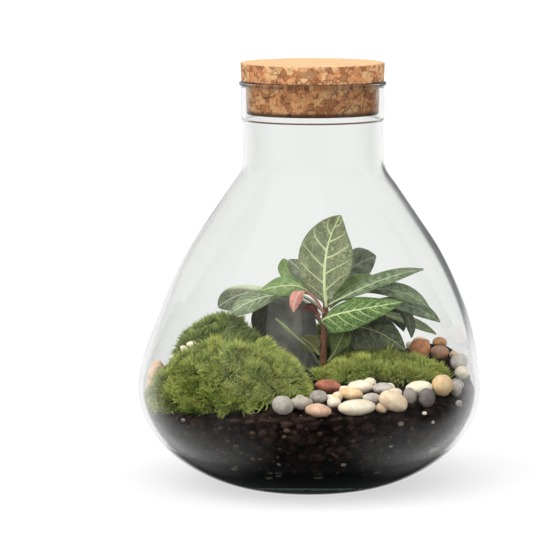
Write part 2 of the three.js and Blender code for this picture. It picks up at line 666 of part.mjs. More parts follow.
// Raises each chosen facet to a point, outwards and a little up
function tufted(body, chosen, tuft, roll) {
  const points = Array.from({ length: body.attributes.position.count }, (_, i) => vertex(body, i));
  const triangles = [];
  for (let i = 0; i < body.index.count; i += 3) {
    const triangle = [0, 1, 2].map((k) => body.index.getX(i + k));
    if (!chosen(triangle)) {
      triangles.push(triangle);
      continue;
    }
    const [a, b, c] = triangle.map((index) => points[index]);
    const normal = b.clone().sub(a).cross(c.clone().sub(a));
    const area = normal.length() / 2;
    const inscribed = (2 * area) / (a.distanceTo(b) + b.distanceTo(c) + c.distanceTo(a));
    const bend = new THREE.Vector3(mix(-0.3, 0.3, roll()), mix(-0.3, 0.3, roll()), mix(0.3, 0.8, roll()));
    const tip = a.clone().add(b).add(c).divideScalar(3)
      .addScaledVector(normal.normalize(), Math.min(tuft, inscribed * TUFT_SLIMNESS) * mix(0.7, 1.25, roll()))
      .addScaledVector(bend, inscribed);
    insideGlass(tip);
    tip.z = Math.max(tip.z, soilHeight(tip.x, tip.y) + MOSS_SKIRT / 2);
    points.push(tip);
    const apex = points.length - 1;
    for (let k = 0; k < 3; k += 1) {
      triangles.push([triangle[k], triangle[(k + 1) % 3], apex]);
    }
  }
  return geometryOf(points, triangles);
}

// A leaf blade along a bent midrib of four points. half is half its widest width, widest where
// along it that is, side the way its right half points, fold how far the halves lift in degrees,
// wave the height of its edge's waves, and shy how far along the left half stays narrow.
function leafBlade({
  from, midrib, half, widest = 0.45, side, fold, wave, waves = 3, petiole, shy = 0, steps = LEAF_STEPS,
}) {
  const right = new THREE.Vector3(...side).normalize();
  const bends = midrib.map((p) => new THREE.Vector3(...p));
  const curve = new THREE.CubicBezierCurve3(leafFoot(from, bends[0], right), ...bends);
  const power = Math.log(0.5) / Math.log(widest);
  const upper = [];
  const lower = [];
  for (let k = 0; k <= steps; k += 1) {
    const t = k / steps;
    const centre = curve.getPoint(t);
    const { across, normal } = bladeFrame(right, curve.getTangent(t));
    const blade = clamp01((t - petiole) / (1 - petiole));
    const narrowest = k === steps ? TIP_HALF : PETIOLE_HALF;
    const halfHere = Math.max(narrowest, half * Math.sin(Math.PI * blade ** power) ** LEAF_FULLNESS);
    LEAF_ACROSS.forEach((v) => {
      const reach = halfHere * (v < 0 && shy > 0 ? mix(SHY_START, 1, smooth(t / shy)) : 1);
      const lift = Math.sin(degrees(fold)) * Math.abs(v) * reach;
      const phase = v > 0 ? WAVE_PHASES.right : WAVE_PHASES.left;
      const ripple = wave * v * v * Math.sin(Math.PI * 2 * waves * t + phase) * Math.sin(Math.PI * blade);
      const point = centre.clone()
        .addScaledVector(across, v * reach * Math.cos(degrees(fold)))
        .addScaledVector(normal, lift + ripple);
      upper.push(point.clone().addScaledVector(normal, LEAF_THICKNESS / 2));
      lower.push(point.clone().addScaledVector(normal, -LEAF_THICKNESS / 2));
    });
  }
  return bladeShell(upper, lower, LEAF_ACROSS.length);
}

// How a blade lies at a point: square to its midrib, and square to its face
function bladeFrame(right, along) {
  const across = right.clone().addScaledVector(along, -right.dot(along)).normalize();
  return { across, normal: across.clone().cross(along).normalize() };
}

// Where a leaf that heads for a point leaves the stem, given the height and the compass turn
function leafFoot([z, turn], towards, right) {
  const stem = stemAt(z);
  const out = new THREE.Vector3(Math.cos(degrees(turn)), Math.sin(degrees(turn)), 0);
  const foot = new THREE.Vector3(stem.x, stem.y, z).addScaledVector(out, stem.radius);
  const { across, normal } = bladeFrame(right, towards.clone().sub(foot).normalize());
  const room = PETIOLE_HALF * Math.abs(out.dot(across)) + (LEAF_THICKNESS / 2) * Math.abs(out.dot(normal));
  return foot.addScaledVector(out, room + GAP);
}

// Two like grids of points joined round their border, split alike on both faces
function bladeShell(upper, lower, columns) {
  const rows = upper.length / columns;
  const below = upper.length;
  const at = (row, column) => row * columns + column;
  const triangles = [];
  const quad = (a, b, c, d) => triangles.push([a, b, c], [a, c, d]);
  for (let r = 0; r < rows - 1; r += 1) {
    for (let c = 0; c < columns - 1; c += 1) {
      const corners = [at(r, c), at(r, c + 1), at(r + 1, c + 1), at(r + 1, c)];
      quad(...corners);
      const [p, q, s, u] = corners.map((index) => below + index);
      triangles.push([p, s, q], [p, u, s]);
    }
    quad(at(r, 0), at(r + 1, 0), below + at(r + 1, 0), below + at(r, 0));
    const end = columns - 1;
    quad(at(r + 1, end), at(r, end), below + at(r, end), below + at(r + 1, end));
  }
  const tip = rows - 1;
  for (let c = 0; c < columns - 1; c += 1) {
    quad(at(0, c + 1), at(0, c), below + at(0, c), below + at(0, c + 1));
    quad(at(tip, c), at(tip, c + 1), below + at(tip, c + 1), below + at(tip, c));
  }
  return geometryOf([...upper, ...lower], triangles);
}

// A rounded pebble, lying on the soil where it first touches
function pebble({ at: [x, y], size: [width, height, deep], roll = 0, turn = 0, seed, lift = 0 }) {
  const bare = new THREE.IcosahedronGeometry(1, 1);
  bare.deleteAttribute('normal');
  bare.deleteAttribute('uv');
  const stone = mergeVertices(bare, 1e-4);
  const position = stone.attributes.position;
  for (let i = 0; i < position.count; i += 1) {
    const p = vertex(stone, i);
    const across = Math.sin(p.x * 2.1 + seed) * Math.sin(p.y * 2.4 + seed * 3);
    const dent = 1 + PEBBLE_DENT * (across + Math.sin(p.z * 3 + seed * 2));
    position.setXYZ(i, p.x * dent, p.y * dent, p.z * dent);
  }
  stone.scale(width / 2, deep / 2, height / 2);
  stone.rotateY(degrees(-roll));
  stone.rotateZ(degrees(turn));
  stone.translate(x, y, 0);
  let rest = -Infinity;
  for (let i = 0; i < position.count; i += 1) {
    const p = vertex(stone, i);
    rest = Math.max(rest, groundAt(p.x, p.y) + SEAT_GAP - p.z);
  }
  return stone.translate(0, 0, rest + lift);
}

// The stones stacked against the glass on the left, grown together where they touch
function leftStack() {
  const stones = LEFT_STACK.map((stone) => toSolid(pebble(stone)));
  return fromSolid(stones.reduce((stack, stone) => stack.add(stone)));
}

const terrarium = new THREE.Group();
terrarium.add(node('glass_vessel', flaskGlass(), COLOURS.glass, 0.03));
terrarium.add(node('cork_stopper', corkStopper(), COLOURS.cork, 0.85));
terrarium.add(node('drainage_gravel', drainageGravel(), COLOURS.gravel, 0.7));
terrarium.add(node('soil', soilBody(), COLOURS.soil, 0.95));
terrarium.add(node('slate_stone', slateStone(), COLOURS.slate, 0.7));
terrarium.add(node('plant_stem', stemTube(), COLOURS.stem, 0.6));

for (const [name, cushion] of Object.entries(MOSS)) {
  terrarium.add(node(name, mossCushion(cushion), COLOURS.moss, 0.95));
}
for (const [name, leaf] of Object.entries(LEAVES)) {
  terrarium.add(node(name, leafBlade(leaf), leaf.colour, 0.55));
}
PEBBLES.forEach((stone, i) => {
  const name = `pebble_${String(i + 1).padStart(2, '0')}`;
  terrarium.add(node(name, pebble({ seed: i + 1, ...stone }), stone.colour, 0.6));
});
terrarium.add(node('pebble_stack_left', leftStack(), TAN, 0.6));

export default terrarium;
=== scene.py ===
"""A closed glass terrarium: a blown flask with a cork stopper, planted with moss, a leafy
houseplant, a slate and pebbles on dark soil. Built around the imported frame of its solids."""

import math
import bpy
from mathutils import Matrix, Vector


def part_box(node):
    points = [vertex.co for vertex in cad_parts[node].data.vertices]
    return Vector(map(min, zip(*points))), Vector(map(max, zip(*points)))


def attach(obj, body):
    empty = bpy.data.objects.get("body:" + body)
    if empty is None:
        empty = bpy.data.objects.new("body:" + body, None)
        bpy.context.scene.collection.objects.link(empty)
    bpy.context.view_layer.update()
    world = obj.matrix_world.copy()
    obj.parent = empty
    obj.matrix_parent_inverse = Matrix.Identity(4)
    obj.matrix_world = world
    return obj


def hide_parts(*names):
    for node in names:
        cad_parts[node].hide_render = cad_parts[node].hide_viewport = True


bl_info = {
    "name": "Glass Plant Terrarium",
    "version": (1, 0, 0),
    "blender": (4, 5, 0),
    "location": "3D View > Sidebar > Terrarium",
    "description": "Builds a planted glass flask with a cork stopper, and its studio",
    "category": "Object",
}

import bmesh
import bpy
import numpy as np
from mathutils import Matrix, Vector, noise

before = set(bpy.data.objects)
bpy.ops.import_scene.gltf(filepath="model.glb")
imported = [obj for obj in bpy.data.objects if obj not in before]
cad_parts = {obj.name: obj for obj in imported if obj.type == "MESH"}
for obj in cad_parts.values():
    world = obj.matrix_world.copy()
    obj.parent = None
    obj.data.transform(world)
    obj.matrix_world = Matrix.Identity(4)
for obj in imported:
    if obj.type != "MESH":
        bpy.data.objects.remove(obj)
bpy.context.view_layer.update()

MM = 0.001

# Flask, outside, in millimetres
GLASS_HEIGHT = 294.5
BELLY_R = 125
BELLY_Z = 71.7
FOOT_R = 52.9
FOOT_FLARE = 28.5
FOOT_LIFT = 4.3
BELLY_FULLNESS_BELOW = 39.8
BELLY_FULLNESS_ABOVE = 23.3
CONE_FOOT_Z = 182.6
CONE_FOOT_BEND = 31.1
CONE_TOP_Z = 218.4
CONE_TOP_R = 60.7
CONE_SLOPE = math.tan(math.radians(34.2))
NECK_FOOT_Z = 239.8
NECK_R = 51.1
COLLAR_FOOT_Z = 267.5
COLLAR_R = 52.1
RIM_R = 53.4
RIM_BEAD = 3.4
PUSH_UP_R = 36
PUSH_UP_HEIGHT = 2.5
PUSH_UP_EDGE = 4
LIP_OUTER_R = 50.7
LIP_INNER_R = 49.6
LIP_DROP = 0.5
# The centre line leans towards +X from one height on, and partly back from another
LEAN = 3.4
LEAN_FROM_Z = 75
LEAN_RISE = 60
LEAN_BACK = 1.2
LEAN_BACK_FROM_Z = 205
LEAN_BACK_RISE = 80

# Flask, inside
MOUTH_R = 49
BELLY_WALL = 2.6
BOTTOM_WALL = 6.5
THICK_BOTTOM_Z = 30
FLASK_SIDES = 144
CURVE_STEPS = 28

# Stopper
TOTAL_HEIGHT = 308
CORK_TOP_R = 52.2
CORK_HEAD_FOOT_R = 51.6
CORK_PLUG_R = 48.6
CORK_PLUG_FOOT_R = 47.9
CORK_FOOT_Z = 271
CORK_HEAD_FOOT_Z = 294.9

CORK_SIDES = 360
CORK_STEP = 0.9
CORK_GRANULE = 4.2
CORK_PIT = 0.7
CORK_PITS_FROM_R = 46.5
CORK_EDGE = 0.8
CORK_CELLS = 230.0

# Filling
GRAVEL_TOP_Z = 17
WALL_GAP = 0.5
SOIL_FOOT_Z = 18.5
SOIL_SIDES = 400
SOIL_SIDE_ROWS = 60
SOIL_TOP_ROWS = 70
CLOD = 6.6
CLOD_BIT = 3.6
# What scrambles a clod's place into its shade
SCRAMBLE_BY = Vector((12.9, 78.2, 37.7))
SCRAMBLE = 43758.5
# Shares of the gravel and the crumbs that are dark
DARK_GRAVEL = 0.93
DARK_CRUMBS = 0.985
MOSS_SKIRT = 2.2
MOSS_FLATNESS = 2.4
MOSS_SWELL = 0.09
MOSS_ROOM = 1.2
MOSS_LUMP = 1.3
MOSS_CLUMP = 15
MOSS_SIDES = 120
MOSS_RINGS = 30

# Leaves
LEAF_FULLNESS = 0.8
LEAF_STEP = 1.0
LEAF_QUILT = 0.5
SHY_START = 0.15
PETIOLE_HALF = 1.1
PETIOLE_THICKNESS = 1.5
TIP_HALF = 0.35
FOOT_ROOM = 0.35
STEM_SIDES = 24

# Stones that lie against the glass low down: compass turn, height, size, shade
GLASS_STONES = [
    (-35, 36, (13, 4, 6), 0.95),
    (-108, 22, (7, 4, 6), 0.7),
    (-122, 27, (7, 4, 5), 0.75),
    (-103, 24, (6, 4, 5), 0.7),
    (-86, 23, (8, 4, 5), 0.65),
    (-60, 25, (8, 4, 5), 0.7),
    (60, 27, (8, 4, 6), 0.8),
    (115, 24, (7, 4, 6), 0.75),
    (160, 30, (9, 4, 6), 0.9),
]
# Grains in the soil against the glass
GLASS_GRAINS = [
    (-43.3, 58.6, (3, 2.4, 2.4), 1.0),
    (-57.7, 60.6, (5, 2.6, 3.4), 0.7),
    (-97.5, 58.5, (4.4, 2.6, 3), 0.62),
    (-98.5, 54, (3, 2.4, 2.6), 0.62),
]

# Studio: wide soft lights with where they stand, spread in degrees and strength; the air's light
LIGHTS = [
    ("Key", (-0.5, -0.75, 0.8), 75, 2.75),
    ("Fill", (0.8, -0.55, 0.7), 90, 1.15),
]
FLOOR_HALF = 60.0
FLOOR_Z = -0.2
FLOOR_GLOW = 0.61
WORLD_STRENGTH = 0.8
WORLD_BEHIND = (1.32, 1.32, 1.33)
WORLD_SIDES = (0.08, 0.08, 0.08)
WORLD_STRIP = (0.3, 0.3, 0.3)
WORLD_FRONT = (0.24, 0.22, 0.22)
WORLD_BELOW = (0.06, 0.065, 0.065)

# Camera
CAMERA_AT = (0.0, -2.474, 0.4586)
CAMERA_PITCH = 7.0429
CAMERA_YAW = 0.5796
CAMERA_LENS = 223.9

# Stem: x, y, height and radius, from its foot up
STEM = [(10, 4, 60, 3), (10.1, 4, 84, 2.6), (10.6, 4, 104, 2.3), (11.8, 4, 127, 2), (12.2, 4.6, 136, 1.5)]

# Leaves: height and compass turn where each leaves the stem, the rest of its midrib, its half
# width, where it is widest, which way its right half points, fold, wave and petiole
LEAVES = {
    "leaf_upright": ("underside", 129, -80, [(10, -5, 148), (8.5, 6, 174), (23, 14, 194.5)],
        20.5, 0.5, (1, 0.1, 0), 10, 0.7, 3, 0.08),
    "leaf_round_back": ("grey", 133, 60, [(19, 24, 148), (31, 31, 157), (49.5, 33, 163)],
        12.5, 0.66, (0.4, 0.3, -1), 6, 0.4, 3, 0.2),
    "leaf_bright_back": ("bright", 132, 40, [(24, 18, 139), (35, 20, 145), (47.5, 21, 150)],
        8.5, 0.45, (0.3, 0.2, -1), 8, 0.4, 3, 0.1),
    "leaf_slender_right": ("spotted", 130.5, -38, [(33, -1, 141), (56, -3, 154), (83, -3, 157.5)],
        6, 0.5, (0.1, -0.5, -0.85), 10, 0.4, 2, 0.12),
    "leaf_front_right": ("veined", 117.5, -125, [(6, -6, 124), (42, -17, 131), (67, -22, 136)],
        14.5, 0.4, (0.1, -0.6, -0.8), -22, 0.7, 3, 0.06),
    "leaf_grey_right": ("spotted", 128, 16, [(37, 8, 146), (66, 6, 147), (87.5, 4, 128.5)],
        6.4, 0.6, (-0.2, -0.4, -0.9), 8, 0.4, 2, 0.25),
    "leaf_low_right": ("spotted", 121, 20, [(37, 12, 134), (70, 13, 138), (96, 10, 117)],
        6.2, 0.65, (-0.2, -0.4, -0.9), 8, 0.4, 2, 0.3),
    "leaf_pale_tip": ("sage", 118, 50, [(37, 24, 127), (66, 28, 122), (94, 25, 106)],
        4, 0.7, (0, -0.5, -0.8), 8, 0.2, 2, 0.3),
    "leaf_shaded_low": ("dark", 110, -20, [(26, 5, 118.5), (50, -4, 117), (70, -7, 98.5)],
        16.5, 0.42, (0.3, -0.15, -1), 8, 0.8, 3, 0.1),
    "leaf_hanging": ("dark", 124.5, 35, [(48, 17, 139), (76, 15, 134), (75, 12, 105)],
        5, 0.7, (0.7, -0.5, 0.3), 8, 0.3, 2, 0.4),
    "leaf_arching_left": ("pale", 127.5, 205, [(-1, -3, 149), (-14, -7, 148), (-36, -8, 142)],
        8, 0.6, (-0.1, -0.5, -1), 8, 0.5, 2, 0.15),
    "leaf_far_left": ("halved", 126.5, 160, [(-8, 17, 145), (-47, 18, 144), (-67, 14, 127)],
        9.6, 0.76, (0.1, -0.5, -0.8), 6, 0.6, 2, 0.35),
    "leaf_striped_left": ("striped", 122.5, 185, [(-7, 4, 143), (-34, 4, 142), (-58, 2, 123.5)],
        8, 0.68, (0.2, -0.5, -0.9), 6, 0.5, 2, 0.35),
    "leaf_pointed_left": ("bright", 132, 122, [(-2, 26, 141), (-16, 28, 145), (-19, 27, 162)],
        7, 0.72, (1, -0.3, 0.1), 14, 0.9, 4, 0.35),
    "leaf_grey_behind": ("grey", 134.5, 105, [(4, 15, 145), (-6, 19, 153), (-15, 20, 162)],
        7, 0.6, (0.7, 0.1, 0.8), 8, 0.4, 3, 0.2),
    "leaf_pink_young": ("pink", 124.5, -118, [(2, -14, 146), (-10, -18, 150), (-11.5, -19, 128)],
        4.8, 0.66, (1, 0, 0.1), 14, 0.2, 2, 0.4),
    "leaf_red_underside": ("red", 118.5, -155, [(3, -1, 130), (-1, -5, 135), (-7, -7, 128)],
        5.4, 0.5, (0.3, -0.8, 0.6), 10, 0.2, 2, 0.1),
    "leaf_narrow_front": ("sage", 86, -120, [(-1, -14, 103), (-10, -20, 112), (-24.4, -24, 124)],
        3.5, 0.42, (0.6, 0.2, -0.6), 14, 0.2, 2, 0.05),
    "leaf_low_left": ("olive", 94, 215, [(5, 1, 98), (0, 0, 105), (-6, -1, 107)],
        7.5, 0.45, (0.7, -0.3, 0.8), 6, 0.3, 2, 0.2),
    "leaf_low_front": ("deep", 89, -25, [(20, 0, 96), (23, -3, 108), (28, -6, 117)],
        8, 0.6, (1, -0.2, -0.6), 8, 0.4, 2, 0.15),
    "leaf_back": ("veined", 127, 95, [(8, 30, 148), (0, 50, 152), (-8, 70, 134)],
        14, 0.55, (1, 0, 0.1), 10, 0.9, 3, 0.2),
    "leaf_back_right": ("dark", 114, 75, [(28, 30, 136), (56, 48, 137), (71, 62, 103)],
        15, 0.62, (1, -0.6, 0), 10, 0.8, 3, 0.2),
    "leaf_back_left": ("dark", 116, 135, [(-10, 36, 136), (-32, 54, 136), (-35, 63, 94)],
        15, 0.64, (1, 0.7, 0), 10, 0.8, 3, 0.25),
}
SHY_LEAVES = {"leaf_front_right": 0.6}
VEIN_STAGGER = 0.45
VEIN_SLANT = 0.2
VEIN_WANDER = 1.7
SLATE_WIDENING = 1.16

# Moss cushions: outline on the soil, height, fullness, seed, number of strands and shade. The low shade of
# the two cushions at the back is painted shade
MOSS = {
    "moss_front_left": (
        [(-116, -30), (-112, -44), (-94, -66), (-58, -90), (-29, -87), (-8, -73),
         (-3, -53), (-8, -35), (-30, -20), (-66, -14), (-100, -14)], 30, 0.7, 1, 34000, 0.6),
    "moss_back_left": (
        [(-97, 28), (-88, 6), (-68, 3), (-46, 8), (-37, 28), (-38, 55), (-52, 78), (-74, 84), (-90, 62)],
        27, 0.9, 2, 20000, 0.25),
    "moss_right": (
        [(6, -22), (14, -36), (34, -30), (60, -28), (86, -28), (98, -14),
         (98, 0), (82, 6), (62, 19), (38, 20), (22, 6), (16, -10)], 7.5, 0.7, 3, 18000, 0.62),
    "moss_back": (
        [(-20, 72), (0, 56), (30, 54), (54, 64), (58, 80), (38, 96), (8, 102), (-14, 92)],
        11, 0.7, 4, 11000, 0.25),
}
# Where longer strands stand up from the right cushion: spot, spread and how much longer
TUFT = ((57, 0), 7, 1.1)

# Pebbles by colour, in the order of their nodes
PEBBLE_COLOURS = (
    "rust cream cream gold pale pale cream sand cream bright grey dark gold"
    " grey pale cream blush greenish beige grey cream orange sand ochre twotone pale"
).split()
# Pebbles that lie flatter than their solids, and how high they are of those
FLAT_PEBBLES = {"pebble_08": 0.82}
PEBBLE_SWELL = 1.08

# Small stones that lie between the pebbles: spot and height above the soil, size and colour
SMALL_STONES = [
    ((57.5, -46, 0), (8, 6.5, 7), "bright"),
    ((25.5, -52, 0), (9, 5, 6.5), "bright"),
    ((-6.4, -80, 0.6), (7.2, 6.5, 7), "pale"),
    ((15.5, -73, 0.5), (9, 5, 5), "cream"),
    ((20, -73, 1), (8, 7, 7), "sand"),
    ((80.7, -88, 0), (3.4, 2.2, 2.4), "bright"),
    ((51, -92, 0), (8.7, 7.2, 8), "peach"),
    ((109, 25, 0), (6, 5, 6), "bright"),
    ((76, 73, 0), (6.5, 5.5, 6), "bright"),
    ((106, -58, 0), (5, 4, 5), "grey"),
    ((88, 60, 0), (6, 5, 6), "ochre"),
    ((108, 38, 0), (7, 5, 6), "peach"),
    ((-92.5, 14, 16), (5.5, 5, 5), "cream"),
    ((-85.5, 16, 18), (10.5, 6, 5), "bright"),
]


def srgb(red, green, blue):
    """A colour given from 0 to 255, as Blender's linear colour."""
    channels = [c / 255 for c in (red, green, blue)]
    return tuple(c / 12.92 if c <= 0.04045 else ((c + 0.055) / 1.055) ** 2.4 for c in channels)


def shaded(colour, share):
    return tuple(share * c for c in colour)


GRAVEL_SHADES = [
    (0.0, srgb(18, 22, 22)),
    (0.45, srgb(58, 60, 58)),
    (0.75, srgb(132, 126, 116)),
    (1.0, srgb(206, 198, 184)),
]
CRUMB_SHADES = [
    (0.6, srgb(104, 80, 62)),
    (0.85, srgb(190, 184, 172)),
    (1.0, srgb(240, 238, 230)),
]
STONE_COLOURS = {
    "rust": ((190, 120, 94), (152, 90, 68)),
    "orange": ((226, 156, 108), (188, 120, 80)),
    "cream": ((255, 244, 224), (240, 222, 196)),
    "bright": ((255, 248, 226), (248, 234, 204)),
    "gold": ((252, 222, 176), (232, 194, 146)),
    "sand": ((252, 230, 198), (236, 204, 168)),
    "beige": ((198, 186, 170), (168, 156, 144)),
    "peach": ((250, 216, 184), (228, 184, 150)),
    "blush": ((232, 194, 168), (208, 166, 140)),
    "pale": ((218, 208, 198), (186, 176, 166)),
    "grey": ((190, 180, 172), (156, 147, 140)),
    "greenish": ((186, 179, 167), (158, 151, 141)),
    "dark": ((134, 124, 121), (102, 94, 91)),
    "ochre": ((230, 180, 132), (190, 140, 98)),
    "twotone": ((216, 150, 112), (168, 142, 124)),
}

# Leaf looks: face, shade, vein, strength of the side veins and of the net, spacing of the side
# veins and their width in millimetres, and strength of the pale fields between the veins
LEAF_LOOKS = {
    "underside": ((134, 137, 106), (96, 103, 74), (208, 220, 168), 0.85, 0.45, 12.0, 1.7, 0.0),
    "spotted": ((106, 123, 86), (72, 91, 60), (190, 200, 164), 0.35, 0.3, 8.0, 0.7, 0.35),
    # The dark look is painted shade, for leaves that lie in shade deep in the plant
    "dark": ((70, 77, 52), (43, 50, 33), (156, 166, 128), 0.4, 0.25, 8.0, 0.8, 0.12),
    "halved": ((70, 77, 52), (43, 50, 33), (226, 234, 198), 0.25, 0.16, 8.0, 0.8, 0.08),
    "striped": ((120, 134, 98), (76, 92, 60), (206, 216, 182), 0.6, 0.35, 6.5, 1.0, 0.3),
    "grey": ((132, 140, 120), (92, 100, 82), (186, 194, 170), 0.4, 0.25, 8.0, 0.8, 0.12),
    "bright": ((146, 168, 112), (110, 134, 78), (186, 202, 142), 0.4, 0.25, 7.0, 0.7, 0.1),
    "deep": ((92, 104, 56), (62, 74, 36), (140, 150, 96), 0.4, 0.25, 7.0, 0.7, 0.1),
    "veined": ((82, 116, 48), (50, 80, 31), (200, 216, 158), 0.85, 0.32, 8.5, 1.0, 0.14),
    "pale": ((114, 144, 80), (78, 110, 54), (198, 210, 160), 0.5, 0.3, 7.0, 0.8, 0.35),
    "olive": ((108, 108, 58), (80, 81, 42), (150, 156, 104), 0.4, 0.2, 8.0, 0.6, 0.0),
    "sage": ((142, 154, 110), (106, 122, 78), (186, 194, 152), 0.4, 0.2, 8.0, 0.8, 0.1),
    "pink": ((222, 150, 138), (186, 106, 96), (236, 196, 184), 0.4, 0.2, 6.0, 0.6, 0.3),
    "red": ((142, 76, 70), (100, 50, 46), (186, 124, 110), 0.4, 0.2, 6.0, 0.6, 0.0),
}


def smooth(t):
    t = np.clip(t, 0, 1)
    return t * t * (3 - 2 * t)


def mix(a, b, t):
    return a + (b - a) * t


def unit(vectors):
    return vectors / np.maximum(np.linalg.norm(vectors, axis=-1, keepdims=True), 1e-9)


def lean(z):
    """How far the flask's centre line leans towards +X at a height."""
    away = LEAN * smooth((z - LEAN_FROM_Z) / LEAN_RISE)
    return away - LEAN_BACK * smooth((z - LEAN_BACK_FROM_Z) / LEAN_BACK_RISE)


def bezier(corners, steps):
    t = np.linspace(0, 1, steps + 1)[:, None]
    a, b, c, d = (np.asarray(corner, float) for corner in corners)
    return a * (1 - t) ** 3 + 3 * b * t * (1 - t) ** 2 + 3 * c * t * t * (1 - t) + d * t ** 3


def outer_side():
    """The flask's outer side from the foot to the neck, as radius and height."""
    cone_foot_r = CONE_TOP_R + CONE_SLOPE * (CONE_TOP_Z - CONE_FOOT_Z)
    rise = NECK_FOOT_Z - CONE_TOP_Z
    below = [
        (FOOT_R, 0),
        (FOOT_R + FOOT_FLARE, FOOT_LIFT),
        (BELLY_R, BELLY_Z - BELLY_FULLNESS_BELOW),
        (BELLY_R, BELLY_Z),
    ]
    above = [
        (BELLY_R, BELLY_Z),
        (BELLY_R, BELLY_Z + BELLY_FULLNESS_ABOVE),
        (cone_foot_r + CONE_SLOPE * CONE_FOOT_BEND, CONE_FOOT_Z - CONE_FOOT_BEND),
        (cone_foot_r, CONE_FOOT_Z),
    ]
    shoulder = [
        (CONE_TOP_R, CONE_TOP_Z),
        (CONE_TOP_R - CONE_SLOPE * rise * 0.35, CONE_TOP_Z + rise * 0.35),
        (NECK_R, NECK_FOOT_Z - rise * 0.5),
        (NECK_R, NECK_FOOT_Z),
    ]
    curves = [bezier(corners, CURVE_STEPS) for corners in (below, above, shoulder)]
    return np.vstack([curves[0], curves[1][1:], curves[2]])


def wall_at(z):
    to_neck = mix(BELLY_WALL, NECK_R - MOUTH_R, smooth((z - CONE_FOOT_Z) / (NECK_FOOT_Z - CONE_FOOT_Z)))
    return mix(BOTTOM_WALL, to_neck, smooth(z / THICK_BOTTOM_Z))


def inner_side():
    outer = outer_side()
    along = unit(np.gradient(outer, axis=0))
    wall = wall_at(outer[:, 1])[:, None]
    moved = outer + np.stack([-along[:, 1], along[:, 0]], 1) * wall
    moved[0, 1] = BOTTOM_WALL
    moved[-1] = (MOUTH_R, NECK_FOOT_Z)
    return moved


INNER_SIDE = inner_side()


def inner_radius(z):
    return np.interp(z, INNER_SIDE[:, 1], INNER_SIDE[:, 0])


def soil_height(x, y):
    """The height of the soil's surface, as in its solid."""
    radius = np.hypot(x, y)
    climb = 0.125 * (y + 110) - 0.0022 * np.maximum(0, y - 35) ** 2
    flanks = 9 * (np.maximum(0, np.abs(x) - 60) / 60) ** 2 + 0.11 * np.maximum(0, -x - 30)
    wall_dip = 2 * smooth((radius - 92) / 28)
    front_dip = 2 * smooth((x - 30) / 40) * smooth((-y - 70) / 30)
    right_bank = smooth((x - 60) / 45) * (8 * smooth((y + 10) / 50) + 5 * smooth((y - 30) / 25))
    left_bank = 9 * smooth((-x - 60) / 40) * smooth((y + 20) / 50)
    wave = 0.7 * np.sin(x * 0.11 + 1) * np.cos(y * 0.09)
    return 66.5 + climb - flanks - wall_dip - front_dip + right_bank + left_bank + wave


def ripple(points, size, seed, waves=7):
    """A smooth field from about -1 to 1 over points, with features of a size in millimetres."""
    rng = np.random.default_rng(seed)
    turns = unit(rng.normal(size=(waves, 3))) * (2 * math.pi / size) * rng.uniform(0.6, 1.5, (waves, 1))
    phases = rng.uniform(0, 2 * math.pi, waves)
    return np.sin(points @ turns.T + phases).sum(1) / math.sqrt(waves)


def within_glass(points, room=1.0):
    """Pulls points in from the flask's inner side."""
    middle = lean(points[:, 2])
    across = points[:, 0] - middle
    radius = np.hypot(across, points[:, 1])
    limit = inner_radius(points[:, 2]) - room
    scale = np.minimum(1, limit / np.maximum(radius, 1e-6))
    return np.stack([middle + across * scale, points[:, 1] * scale, points[:, 2]], 1)


def mesh_of(name, points, faces):
    """A smoothly shaded mesh from points in millimetres."""
    mesh = bpy.data.meshes.new(name)
    mesh.from_pydata((np.asarray(points, float) * MM).tolist(), [], faces)
    mesh.polygons.foreach_set("use_smooth", [True] * len(mesh.polygons))
    mesh.update()
    return mesh


def add_piece(name, shape, material, nodes=(), maps=(), values=()):
    """A piece of the terrarium, which stands for its solids and takes a finish. It can carry UV
    maps and values, each with an entry for every point."""
    mesh = mesh_of(name, *shape)
    for key, entries in maps:
        corner_map(mesh, key, entries)
    for key, entries in values:
        point_value(mesh, key, entries)
    piece = bpy.data.objects.new(name, mesh)
    bpy.context.scene.collection.objects.link(piece)
    mesh.materials.append(material)
    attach(piece, "root")
    if nodes:
        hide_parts(*nodes)


def dress(node, shape, material, maps=(), values=(), name=None):
    """The piece that replaces a solid, in the solid's own finish."""
    add_piece(name or node.title(), shape, material, [node], maps, values)


def corner_map(mesh, name, values):
    """A UV map with one value for each point of the mesh."""
    layer = mesh.uv_layers.new(name=name)
    corners = np.zeros(len(mesh.loops), int)
    mesh.loops.foreach_get("vertex_index", corners)
    layer.data.foreach_set("uv", values[corners].astype(np.float32).ravel())


def point_value(mesh, name, values):
    mesh.attributes.new(name, "FLOAT", "POINT").data.foreach_set("value", np.asarray(values, np.float32))


def bands(count, sides):
    """Faces between rings of points that follow each other."""
    near = np.arange(sides)
    after = (near + 1) % sides
    low = np.arange(count)[:, None] * sides
    high = low + sides
    return np.stack([low + near, low + after, high + after, high + near], -1).reshape(-1, 4)


def fan(tip, start, sides, reverse=False):
    """Faces from a point to the ring of points that begins at start."""
    near = np.arange(sides)
    after = (near + 1) % sides
    pair = (after, near) if reverse else (near, after)
    return np.stack([np.full(sides, tip), start + pair[0], start + pair[1]], 1).tolist()


def spot_at(radius, turn, z):
    """The spot at a height, a turn and a distance from the flask's centre line."""
    return np.array([radius * math.cos(turn) + float(lean(z)), radius * math.sin(turn), z])


